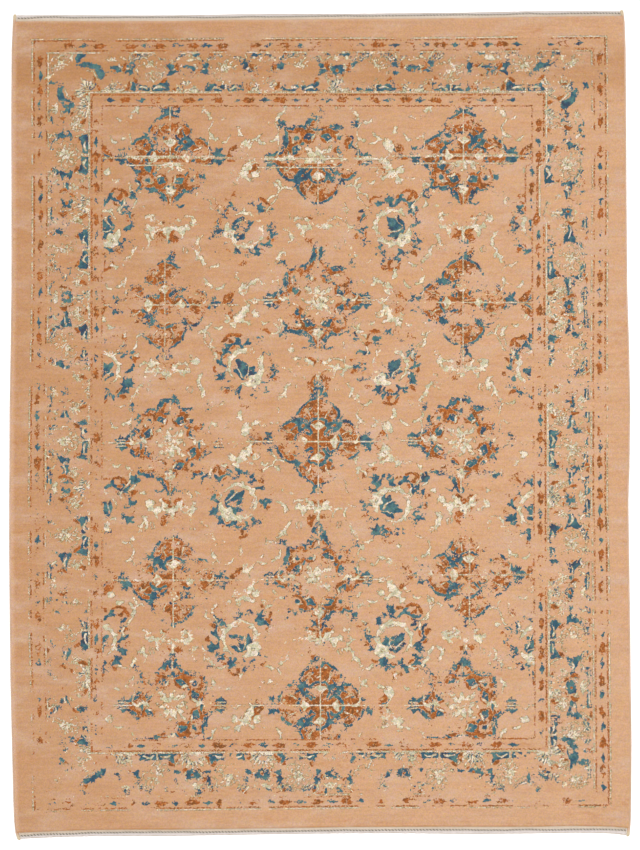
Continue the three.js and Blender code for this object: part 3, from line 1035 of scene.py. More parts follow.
    def span(self, edge: Edge, line: str) -> tuple[float, float]:
        """Where a line of one edge starts and stops: at the same line of its two neighbours."""
        low, high = (Edge.FOOT, Edge.TOP) if edge.upright else (Edge.LEFT, Edge.RIGHT)
        return getattr(LINES[low], line), getattr(LINES[high], line)

    def draw_guards(self) -> None:
        """Draws the marks of both narrow stripes on all four sides."""
        for number, (edge, lines) in enumerate(LINES.items()):
            for line in ("marks", "outer_marks"):
                low, high = self.span(edge, line)
                guard = Guard(number + len(line))
                for along, kind in guard.places(low + 6, high - 6):
                    off = lines.at(line, along)
                    place, turn = ((off, along), 90) if edge.upright else ((along, off), 0)
                    guard.mark(Pen(self.chart, place, turn=turn), kind)

    def draw_lines(self) -> None:
        """Draws the fine lines that bound the stripes: name, dye, half width and hold of each."""
        self.chart.calm = True
        wanted = (("beyond", CREAM, 0.5, -0.3), ("outer", RUST, 0.7, 1.2), ("outer_inner", RUST, 0.6, 0.2),
                  ("edge_out", CREAM, 0.5, -1.0), ("edge_in", CREAM, 0.6, 1.8), ("rust_in", RUST, 0.75, 1.3),
                  ("inner", RUST, 0.6, 0.2))
        for line, dye, wide, hold in wanted:
            for edge, lines in LINES.items():
                low, high = self.span(edge, line)
                stops = [low] + [s for s, _ in lines.drift_of(line) if low < s < high] + [high]
                for a, b in zip(stops, stops[1:]):
                    path = [(a, lines.at(line, a)), (b, lines.at(line, b))]
                    if edge.upright:
                        path = [(off, along) for along, off in path]
                    Pen(self.chart, (0, 0)).line(dye, path, wide, hold=hold)


# Edges of the rug as it lies, in mm: row, outer face of the left and of the right side cord
SIDE_ROWS = (
    (-1000, -729.5, 744), (-982, -735, 746), (-953, -738, 748), (-905, -740, 749), (-760, -743.5, 750),
    (-615, -747, 748), (-471, -748.5, 746.5), (-327, -750, 744.5), (-182, -750, 742.5), (-109, -749.5, 745),
    (35, -749, 747), (180, -746.5, 744.5), (324, -744.5, 740), (541, -744.5, 738), (758, -745, 737),
    (903, -744, 736), (970, -741, 733.5), (988, -740, 731.5), (1000, -739.5, 730),
)

# The two ends, in mm: place across, edge of the kilim, twined row, edge of the pile
END_ROWS = {
    Edge.TOP: (
        (-740, 988, 980, 973), (-700, 988, 981, 974), (-640, 988.5, 982.5, 974.5), (-560, 988.5, 981, 974),
        (-460, 988, 982, 974.5), (-360, 988, 981.5, 974.5), (-217, 990.5, 983, 977), (-72, 992, 985, 978),
        (73, 992, 986, 979.5), (217, 993.5, 987, 980), (362, 995, 988.5, 981.5), (506, 998, 991, 984.5),
        (620, 998.5, 992, 986), (700, 998, 992, 986.5), (745, 998, 991, 987.5),
    ),
    Edge.FOOT: (
        (-740, -999, -989.5, -984), (-700, -996.5, -988, -982), (-640, -994, -986, -979.5),
        (-560, -991.5, -983, -976.5), (-460, -991, -981.5, -975.5), (-360, -991, -981.5, -975.5),
        (-217, -988.5, -979.5, -973.5), (-72, -986, -977.5, -971.5), (73, -984.5, -976, -969),
        (217, -984.5, -975, -968.5), (362, -986, -975.5, -968.5), (506, -985, -975, -968.5),
        (620, -983, -974, -966.5), (700, -984.5, -974.5, -968), (745, -990, -977, -972),
    ),
}

END_CORNER = 985.0  # mm from the middle, about where each end meets the side cords
CORD_ENDS = {Edge.LEFT: (-1000.0, 989.5), Edge.RIGHT: (-991.0, 1000.0)}  # mm, foot tip and top tip


class Outline:
    """Outline of the rug as it lies on the floor, in mm."""

    def side(self, side: Edge, y: np.ndarray | float) -> np.ndarray:
        """Outer face of one side cord at rows of the rug."""
        rows = np.asarray(SIDE_ROWS, float)
        return np.interp(y, rows[:, 0], rows[:, 1 if side is Edge.LEFT else 2])

    def end(self, end: Edge, line: EndLine, x: np.ndarray) -> np.ndarray:
        """Kilim edge, twined row or pile edge of one end at places across the rug."""
        rows = np.asarray(END_ROWS[end], float)
        return np.interp(x, rows[:, 0], rows[:, line.value])

    def between_cords(self, end: Edge, inset: float) -> tuple[float, float]:
        """Left and right limit of what lies between the side cords at one end."""
        y = END_CORNER * end.outward
        return float(self.side(Edge.LEFT, y)) + inset, float(self.side(Edge.RIGHT, y)) - inset


@dataclass
class Solid:
    """Body under construction: its points, faces and values stored on the points."""

    name: str
    points: np.ndarray
    faces: list[tuple[int, ...]]
    values: dict[str, np.ndarray] = field(default_factory=dict)
    sharp_above: float = 60.0
    flat_uv: np.ndarray | None = None

    def build(self, material: bpy.types.Material, slot: str) -> bpy.types.Object:
        """Makes the Blender object, smooth except at its folds.

        Args:
            material: The finish of the whole body.
            slot: Name of a material slot; not used.

        Returns:
            The object, in metres, riding on the rug.
        """
        mesh = bpy.data.meshes.new(self.name)
        mesh.from_pydata((self.points * MM).tolist(), [], self.faces)
        mesh.update()
        for name, values in self.values.items():
            layer = mesh.attributes.new(name, "FLOAT", "POINT")
            layer.data.foreach_set("value", values.astype(np.float32))
        if self.flat_uv is not None:
            corners = np.full((len(mesh.loops), 2), 0.002)
            given = self.flat_uv.reshape(-1, 2)
            corners[:len(given)] = given
            mesh.uv_layers.new(name="OFBake").data.foreach_set("uv", corners.ravel())
        mesh.polygons.foreach_set("use_smooth", [True] * len(mesh.polygons))
        mesh.set_sharp_from_angle(angle=math.radians(self.sharp_above))
        mesh.materials.append(material)
        body = bpy.data.objects.new(self.name, mesh)
        bpy.context.scene.collection.objects.link(body)
        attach(body, "root")
        return body


def grid_faces(rows: int, columns: int, first: int = 0) -> list[tuple[int, int, int, int]]:
    """Faces of a grid of points, facing up when rows run up and columns run right."""
    corner = (np.arange(rows - 1)[:, None] * columns + np.arange(columns - 1) + first).ravel()
    return np.stack([corner, corner + 1, corner + columns + 1, corner + columns], axis=1).tolist()


def rim_of(rows: int, columns: int) -> np.ndarray:
    """Points round the edge of a grid, anticlockwise from its first corner."""
    index = np.arange(rows * columns).reshape(rows, columns)
    return np.concatenate([index[0, :-1], index[:-1, -1], index[-1, :0:-1], index[:0:-1, 0]])


def walled(name: str, axes: Sequence[np.ndarray], loops: Sequence[np.ndarray]) -> Solid:
    """A closed body: a grid of points on top, walls of loops under its rim, and a flat face under them.

    Args:
        name: Name of the piece.
        axes: The grid's places x, y and z, in mm.
        loops: The walls' loops of points, from the uppermost down.

    Returns:
        The body, its top's faces first.
    """
    shape = axes[0].shape
    top = np.stack([axis.ravel() for axis in axes], axis=1)
    rim = rim_of(*shape)
    ring = np.arange(len(rim))
    after = np.roll(ring, -1)
    faces = grid_faces(*shape)
    levels = [rim] + [len(top) + k * len(rim) + ring for k in range(len(loops))]
    for upper, lower in zip(levels, levels[1:]):
        faces += np.stack([upper, lower, lower[after], upper[after]], axis=1).tolist()
    faces.append(tuple(levels[-1][::-1].tolist()))
    return Solid(name, np.vstack([top, *loops]), faces)


def down_the_walls(values: np.ndarray, walls: int) -> np.ndarray:
    """Values of a grid of points, with those of its rim repeated for each loop of its walls."""
    flat = values.ravel()
    return np.concatenate([flat] + [flat[rim_of(*values.shape)]] * walls)


def tube(name: str, points: np.ndarray, first: int = 0) -> Solid:
    """A closed tube from rings of points, the same number in each, with a cap on both ends.

    Args:
        name: Name of the piece.
        points: Its points in mm, ring by ring.
        first: How far round its corners each face starts, which sets its diagonal.

    Returns:
        The tube's body.
    """
    count, sides = points.shape[:2]
    start = np.arange(count - 1)[:, None] * sides
    corner, beside = ((start + (np.arange(sides) + k) % sides).ravel() for k in (0, 1))
    faces = np.roll(np.stack([corner + sides, beside + sides, beside, corner], axis=1), first,
                    axis=1).tolist()
    faces.append(tuple(range(sides)))
    faces.append(tuple(range((count - 1) * sides, count * sides))[::-1])
    return Solid(name, points.reshape(-1, 3), faces)


@dataclass(frozen=True)
class Loom:
    """Spacing of the modelled knots, and where the drawn part of the pile ends."""

    pitch: float = 2.75  # mm
    plain_pitch: float = 5.4  # mm
    across: tuple[float, float] = (-308.0, 308.0)  # squares, the pile's sides
    along: tuple[float, float] = (-405.0, 407.0)  # squares, the pile's ends
    drawn_across: tuple[float, float] = (-292.0, 290.0)
    drawn_along: tuple[float, float] = (-385.0, 388.5)
    straight: tuple[float, float] = (215.0, 315.0)  # squares from the middle that the edges don't pull
    pulled: tuple[float, float] = (93.0, 91.0)  # squares beyond, over which the pull grows
    pull_curve: float = 1.4

    def stations(self, ends: tuple[float, float], drawn: tuple[float, float]) -> np.ndarray:
        """Places of the knots along one direction, wider apart in the plain margins."""
        plain, fine = self.plain_pitch / SQUARE, self.pitch / SQUARE
        low = np.linspace(ends[0], drawn[0], round((drawn[0] - ends[0]) / plain), endpoint=False)
        middle = np.linspace(drawn[0], drawn[1], round((drawn[1] - drawn[0]) / fine), endpoint=False)
        high = np.linspace(drawn[1], ends[1], round((ends[1] - drawn[1]) / plain) + 1)
        return np.concatenate([low, middle, high])


@dataclass(frozen=True)
class PileShape:
    """Heights of the pile in mm, and how far it leans over its edges."""

    height: float = 8.0
    motif_rise: float = 0.45
    side_lean: float = 4.2
    end_lean: float = -1.6
    cord: float = 8.8
    rounding: float = 0.75  # how far the pile drops at its edge
    rounded: float = 5.0  # and over what width
    wall: tuple[Point, ...] = ((6.95, 0.0), (6.3, 0.62), (2.2, 1.0))  # height, share drawn in under the cord


class PileCloth:
    """Knotted pile of the rug, cut into pieces that meet along rows and columns of knots."""

    def __init__(self, outline: Outline, loom: Loom, shape: PileShape) -> None:
        """Lays out the knots.

        Args:
            outline: Edges of the rug.
            loom: Spacing of the modelled knots.
            shape: Heights and lean of the pile.
        """
        self.outline, self.loom, self.shape = outline, loom, shape
        self.across = loom.stations(loom.across, loom.drawn_across)
        self.along = loom.stations(loom.along, loom.drawn_along)
        self.chart = Chart(self.across, self.along)
        self.places = self.laid()

    def laid(self) -> tuple[np.ndarray, np.ndarray]:
        """Places of all knots on the floor in mm, pulled to the rug's uneven edges."""
        c, r = np.meshgrid(self.across, self.along)
        x, y = c * SQUARE, r * SQUARE
        near_x, near_y = (
            np.clip((np.abs(axis) - straight) / pulled, 0, 1) ** self.loom.pull_curve
            for axis, straight, pulled in zip((c, r), self.loom.straight, self.loom.pulled)
        )
        lean = self.shape.cord - self.shape.side_lean
        left = self.outline.side(Edge.LEFT, y) + lean - self.loom.across[0] * SQUARE
        right = self.outline.side(Edge.RIGHT, y) - lean - self.loom.across[1] * SQUARE
        x = x + near_x * np.where(c < 0, left, right)
        foot = self.outline.end(Edge.FOOT, EndLine.PILE, x) - self.shape.end_lean - self.loom.along[0] * SQUARE
        top = self.outline.end(Edge.TOP, EndLine.PILE, x) + self.shape.end_lean - self.loom.along[1] * SQUARE
        y = y + near_y * np.where(r < 0, foot, top)
        return x, y

    def cut(self, name: str, columns: tuple[float, float], rows: tuple[float, float]) -> Solid:
        """One piece of the pile between two columns and two rows.

        Args:
            name: Name of the piece.
            columns: First and last column, in squares.
            rows: First and last row, in squares.

        Returns:
            The closed body of the piece, with the depths of each dye in mm on its points.
        """
        i0, i1 = (int(np.argmin(np.abs(self.across - c))) for c in columns)
        j0, j1 = (int(np.argmin(np.abs(self.along - r))) for r in rows)
        part = np.s_[j0:j1 + 1, i0:i1 + 1]
        x, y = (axis[part] for axis in self.places)
        z = self.height_at(x, y) + self.shape.motif_rise * ease(self.chart.drawn[part] / 1.6 + 0.5)
        rim = rim_of(*x.shape)
        walls = self.walls(np.stack([axis.ravel()[rim] for axis in (x, y, z)], axis=1))
        body = walled(name, (x, y, z), walls)
        body.flat_uv = self.spread(x, y, grid_faces(*x.shape))
        layers = {"kept": self.chart.kept} | {dye.value: layer for dye, layer in self.chart.dyes.items()}
        stored = {key: np.clip(layer[part], -9, 9) * SQUARE for key, layer in layers.items()}
        stored["from_pale_edge"] = np.minimum(x - self.outline.side(Edge.LEFT, y) - self.shape.side_lean,
                                              1.4 * (self.outline.end(Edge.TOP, EndLine.PILE, x) - y))
        # distance from the pile's foot edge, along which the wool is painted darker as shadow
        stored["from_shadowed_foot"] = y - self.outline.end(Edge.FOOT, EndLine.PILE, x)
        body.values = {key: down_the_walls(values, len(walls)) for key, values in stored.items()}
        return body

    def spread(self, x: np.ndarray, y: np.ndarray, faces: list[tuple[int, ...]]) -> np.ndarray:
        """Lays the pile's top flat in a square, a long piece as strips side by side.

        Args:
            x: Places of its points across the rug, in mm.
            y: Their places along the rug.
            faces: Faces of the top.

        Returns:
            Two coordinates for each corner of each face.
        """
        wide, long = np.ptp(x), np.ptp(y)
        strips = max(1, round(math.sqrt(long / wide)))
        bands = max(1, round(math.sqrt(wide / long)))
        corners = np.asarray(faces)
        u = ((x - x.min()) / wide * 0.998).ravel()[corners]
        v = ((y - y.min()) / long * 0.998).ravel()[corners]
        strip = np.floor(v.mean(1, keepdims=True) * strips)
        band = np.floor(u.mean(1, keepdims=True) * bands)
        across = (u * bands - band) * 0.98 + 0.01
        along = (v * strips - strip) * 0.98 + 0.01
        return np.stack([(across + strip) / strips, (along + band) / bands], axis=2)

    def inset_at(self, x: np.ndarray, y: np.ndarray) -> np.ndarray:
        """How far in from the pile's edge each place is, in mm."""
        inset = np.minimum(x - self.outline.side(Edge.LEFT, y), self.outline.side(Edge.RIGHT, y) - x)
        inset = inset - self.shape.cord + self.shape.side_lean
        to_end = np.minimum(self.outline.end(Edge.TOP, EndLine.PILE, x) - y,
                            y - self.outline.end(Edge.FOOT, EndLine.PILE, x))
        return np.minimum(inset, to_end + self.shape.end_lean)

    def height_at(self, x: np.ndarray, y: np.ndarray) -> np.ndarray:
        """Height of the bare pile, rounded over towards the rug's edges."""
        return self.shape.height - self.shape.rounding * (1 - ease(self.inset_at(x, y) / self.shape.rounded))

    def walls(self, rim: np.ndarray) -> list[np.ndarray]:
        """Loops of the walls under the rim, down to the pile's base."""
        inner_left = self.outline.side(Edge.LEFT, rim[:, 1]) + self.shape.cord
        inner_right = self.outline.side(Edge.RIGHT, rim[:, 1]) - self.shape.cord
        loops = []
        pulled = np.clip(rim[:, 0], inner_left, inner_right)
        for height, share in self.shape.wall:
            loop = rim.copy()
            loop[:, 0] += (pulled - rim[:, 0]) * share
            loop[:, 2] = height
            loops.append(loop)
        return loops


@dataclass(frozen=True)
class Foundation:
    """Woven back of the rug: warps and wefts under the whole pile and both kilims. Sizes in mm."""

    outline: Outline
    height: float = 2.0
    from_sides: float = 9.2
    from_ends: float = 1.0
    columns: int = 49
    rows: int = 65

    def build(self, material: bpy.types.Material) -> bpy.types.Object:
        """Makes the back as one closed slab inside the side cords."""
        u, v = np.meshgrid(np.linspace(0, 1, self.columns), np.linspace(0, 1, self.rows))
        y = (2 * v - 1) * 980
        for _ in range(3):
            left = self.outline.side(Edge.LEFT, y) + self.from_sides
            right = self.outline.side(Edge.RIGHT, y) - self.from_sides
            x = left + (right - left) * u
            foot = self.outline.end(Edge.FOOT, EndLine.KILIM, x) + self.from_ends
            top = self.outline.end(Edge.TOP, EndLine.KILIM, x) - self.from_ends
            y = foot + (top - foot) * v
        upper = np.stack([x.ravel(), y.ravel(), np.full(u.size, self.height)], axis=1)
        rim = rim_of(*u.shape)
        after = np.roll(rim, -1)
        faces = grid_faces(*u.shape)
        faces += [face[::-1] for face in grid_faces(*u.shape, u.size)]
        faces += np.stack([rim, rim + u.size, after + u.size, after], axis=1).tolist()
        solid = Solid("woven_back", np.vstack([upper, upper * (1, 1, 0)]), faces)
        return solid.build(material, "pile")


@dataclass(frozen=True)
class Kilim:
    """Flat-woven band at one end, from under the pile to its worn outer edge. Sizes in mm."""

    end: Edge
    outline: Outline
    base: float = 0.9
    height: float = 2.15
    rib: float = 3.0
    rib_rise: float = 0.16
    weft: float = 1.7
    fray: float = 0.9
    edge_thinning: float = 0.35
    from_sides: float = 9.0
    under_pile: float = 5.0
    step: float = 1.9
    rows: int = 15

    def build(self, material: bpy.types.Material) -> bpy.types.Object:
        """Makes the band as one closed body with its ribs and uneven edge."""
        outward = self.end.outward
        across = np.arange(*self.outline.between_cords(self.end, self.from_sides), self.step)
        x, v = np.meshgrid(across, np.linspace(0, 1, self.rows)[::outward])
        inner = self.outline.end(self.end, EndLine.PILE, x) - self.under_pile * outward
        outer = self.outline.end(self.end, EndLine.KILIM, x)
        ragged = Mottle(61, 2.6).at(x, 0 * x + 40 * outward) + 0.8 * Mottle(62, 6.0).at(x,
                                                                                        0 * x + 90 * outward)
        outer = outer - outward * self.fray * (0.75 + 0.55 * ragged)
        y = inner + (outer - inner) * v
        rib = np.sin(2 * math.pi * x / self.rib) * np.cos(math.pi * (y - inner) / self.weft)
        thin = 1 - self.edge_thinning * ease((v - 0.9) / 0.1)
        z = self.height * thin + self.rib_rise * rib + 0.1 * Mottle(63, 5.0).at(x, y)
        rim = rim_of(*x.shape)
        foot = np.stack([x.ravel()[rim], y.ravel()[rim], np.full(len(rim), self.base)], axis=1)
        solid = walled(f"kilim_{self.end.value}", (x, y, z), [foot])
        solid.values["outward"] = down_the_walls(v, 1)
        return solid.build(material, "pile")


@dataclass(frozen=True)
class Strand:
    """Size of the strands of the twined row, in mm; the light one is the thicker."""

    light: float = 3.0
    dark: float = 2.05
    swing: float = 0.8
    lift: float = 1.1
    turn: float = 7.7
    per_turn: int = 8
    sides: int = 6
    flat: float = 0.82
    height: float = 4.25
    from_sides: float = 10.6


class TwinedRow:
    """Two strands, light and dark, twined along the kilim of one end."""

    def __init__(self, end: Edge, outline: Outline, strand: Strand) -> None:
        """Takes the end, the rug's edges and the strand."""
        self.end, self.outline, self.strand = end, outline, strand

    def strand_body(self, name: str, thick: float, phase: float,
                    material: bpy.types.Material) -> bpy.types.Object:
        """Makes one strand as a closed tube that winds round its neighbour.

        Args:
            name: Name of the strand.
            thick: Thickness of the strand in mm.
            phase: Where the strand starts in its turn, in radians.
            material: The strand's yarn.

        Returns:
            The strand.
        """
        size = self.strand
        left, right = self.outline.between_cords(self.end, size.from_sides)
        x = np.linspace(left, right, int((right - left) / size.turn * size.per_turn))
        uneven = 0.9 * Mottle(71, 55.0).at(x, 0 * x) + 0.3 * Mottle(72, 14.0).at(x, 0 * x)
        angle = phase - 2 * math.pi * x / size.turn - 1.2 * Mottle(73, 60.0).at(x, 0 * x)
        y = self.outline.end(self.end, EndLine.ROW, x) + uneven + size.swing * np.sin(angle)
        path = np.stack([x, y, size.height + size.lift * np.cos(angle)], axis=1)
        radius = thick / 2 * (1 + 0.12 * Mottle(74, 8.0).at(x, 0 * x + phase * 9))
        rings = self.rings(path, radius)
        return tube(f"twined_{self.end.value}_{name}", rings).build(material, "twine")

    def rings(self, path: np.ndarray, radius: np.ndarray) -> np.ndarray:
        """Rings of points round a path, square to it and a little flattened."""
        ahead = np.gradient(path, axis=0)
        ahead /= np.linalg.norm(ahead, axis=1)[:, None]
        side = np.cross((0.0, 0.0, 1.0), ahead)
        side /= np.linalg.norm(side, axis=1)[:, None]
        up = np.cross(ahead, side)
        angle = (np.arange(self.strand.sides) * 2 * math.pi / self.strand.sides)[None, :, None]
        ring = np.cos(angle) * side[:, None] + self.strand.flat * np.sin(angle) * up[:, None]
        return path[:, None] + ring * radius[:, None, None]

    def build(self, light: bpy.types.Material, dark: bpy.types.Material) -> list[bpy.types.Object]:
        """Makes both strands."""
        return [self.strand_body("light", self.strand.light, 0.0, light),
                self.strand_body("dark", self.strand.dark, math.pi, dark)]


@dataclass(frozen=True)
class SideCord:
    """Overcast cord along one long side, with a rounded tip at each end. Sizes in mm."""

    side: Edge
    outline: Outline
    width: float = 8.4
    height: float = 6.4
    wrap: float = 3.4
    wrap_rise: float = 0.22
    wrap_slant: float = 0.22  # turns
    bare: float = 34.0
    bare_step: float = 0.85
    tip: tuple[float, ...] = (0.0, 0.25, 0.9, 2.0, 3.4)
    sides: int = 12

    def build(self, material: bpy.types.Material) -> bpy.types.Object:
        """Makes the cord with its wrapped yarn, finer at the bare tips."""
        foot, top = CORD_ENDS[self.side]
        near = np.concatenate([self.tip, np.arange(4.6, self.bare, self.bare_step)])
        y = np.concatenate([foot + near, np.arange(foot + self.bare, top - self.bare, self.wrap / 2),
                            top - near[::-1]])
        from_tip = np.minimum(top - y, y - foot)
        to_tip = np.clip(from_tip / 4.0, 0, 1)
        full = (0.35 + 0.65 * np.sqrt(to_tip * (2 - to_tip)))[:, None]
        centre = self.outline.side(self.side, y) - self.side.outward * self.width / 2
        angle = np.arange(self.sides) * 2 * math.pi / self.sides
        wrap = self.wrap_rise * np.sin(2 * math.pi * (y[:,
                                                        None] / self.wrap + self.wrap_slant * np.cos(angle)))
        x = centre[:, None] + (self.width / 2 + wrap - self.wrap_rise) * full * np.cos(angle)
        rise = (0.58 * self.height + wrap - self.wrap_rise) * full
        z = np.maximum(0.42 * self.height + rise * np.sin(angle), 0.0)
        points = np.stack([x, np.broadcast_to(y[:, None], x.shape), z], axis=2)
        solid = tube(f"overcast_{self.side.value}", points, first=1)
        solid.values["bare_tip"] = np.repeat(1 - ease((from_tip - 9.0) / 9.0), self.sides)
        solid.sharp_above = 80.0
        return solid.build(material, "overcast")


def linear(colour: str) -> tuple[float, float, float, float]:
    """A colour given as sRGB hex, as the renderer takes it."""
    parts = [int(colour[i:i + 2], 16) / 255 for i in (1, 3, 5)]
    lit = [c / 12.92 if c <= 0.04045 else ((c + 0.055) / 1.055) ** 2.4 for c in parts]
    return (*lit, 1.0)


class Shader:
    """Material built node by node."""

    def __init__(self, name: str) -> None:
        """Starts a material with one surface shader."""
        self.material = bpy.data.materials.new(name)
        self.material.use_nodes = True
        self.tree = self.material.node_tree
        self.surface = self.tree.nodes["Principled BSDF"]

    def add(self, kind: str, feeds: dict[int | str, Feed] | Sequence[Feed] = (), out: int | str = 0,
            **settings: str) -> Socket:
        """Adds a node with its settings and links.

        Args:
            kind: Kind of node, without its ShaderNode prefix.
            feeds: What feeds each input, by its name or number, or in their order.
            out: The output wanted.
            **settings: Settings of the node itself.

        Returns:
            The output wanted.
        """
        node = self.tree.nodes.new(f"ShaderNode{kind}")
        for key, value in settings.items():
            setattr(node, key, value)
        self.wire(node, feeds if isinstance(feeds, dict) else dict(enumerate(feeds)))
        return node.outputs[out]

    def wire(self, node: bpy.types.Node, feeds: dict[int | str, Feed]) -> None:
        """Feeds a node's inputs from other nodes or with constants."""
        for key, value in feeds.items():
            if isinstance(value, Socket):
                self.tree.links.new(value, node.inputs[key])
            else:
                node.inputs[key].default_value = linear(value) if isinstance(value, str) else value

    def total(self, start: Feed, *parts: tuple[Feed, Feed]) -> Socket:
        """Adds values, each times its weight, to a first one."""
        for value, weight in parts:
            start = self.add("Math", (value, weight, start), operation="MULTIPLY_ADD")
        return start

    def blend(self, value: Feed, low: float, high: float, first: Feed, second: Feed,
              share: tuple[float, float] = (0.0, 1.0)) -> Socket:
        """Blends two colours, softly from one value to another.

        Args:
            value: What decides between them.
            low: Value up to which the first share of the second colour holds.
            high: Value from which the last share of it holds.
            first: The first colour.
            second: The second colour.
            share: The first and the last share.

        Returns:
            The blended colour.
        """
        eased = self.add("MapRange", (value, low, high, *share), interpolation_type="SMOOTHSTEP")
        return self.add("Mix", {0: eased, 6: first, 7: second}, out=2, data_type="RGBA")

    def shaded(self, colour: Feed, value: Feed, amount: Feed) -> Socket:
        """A colour made lighter or darker by a value about nought."""
        return self.add("VectorMath", {0: colour, 3: self.total(1.0, (value, amount))}, operation="SCALE")

    def place(self, stretch: Sequence[float] = (1, 1, 1), shift: float = 0.0) -> Socket:
        """The place on the rug, in mm, shrunk and moved along each axis."""
        spot = self.add("TexCoord", out="Object")
        return self.add("Mapping", {"Vector": spot, "Scale": [s / MM for s in stretch],
                                    "Location": [shift] * 3})

    def noise(self, size: float, stretch: Sequence[float] = (1, 1, 1), detail: float = 1.0,
              shift: float = 0.0) -> Socket:
        """Noise in patches of a size in mm, about -1 to 1."""
        feeds = {"Vector": self.place(stretch, shift), "Scale": 1 / size, "Detail": detail, "Roughness": 0.6}
        return self.total(-1.6, (self.add("TexNoise", feeds), 3.2))

    def knots(self, size: float, stretch: Sequence[float] = (1, 1, 1), shift: float = 0.0) -> Socket:
        """A value from -1 to 1 that changes from knot to knot of a size in mm."""
        scaled = self.add("VectorMath", (self.place(stretch, shift), [1 / size] * 3), operation="MULTIPLY")
        whole = self.add("VectorMath", (scaled,), operation="FLOOR")
        return self.total(-1.0, (self.add("TexWhiteNoise", {"Vector": whole}, noise_dimensions="2D"), 2.0))

    def finish(self, colour: Socket, roughness: Feed, height: Socket, relief: tuple[float, float],
               **surface: float) -> bpy.types.Material:
        """Closes the material.

        Args:
            colour: Its colour.
            roughness: Its roughness.
            height: Height of its grain, about -1 to 1.
            relief: Strength of the grain's bump, and its real height in metres.
            **surface: Other inputs of the surface shader, with _ for each space in their names.

        Returns:
            The material.
        """
        strength, distance = relief
        bump = self.add("Bump", {"Height": height, "Strength": strength, "Distance": distance})
        named = {name.replace("_", " "): value for name, value in surface.items()}
        self.wire(self.surface, {"Base Color": colour, "Roughness": roughness, "Normal": bump} | named)
        return self.material


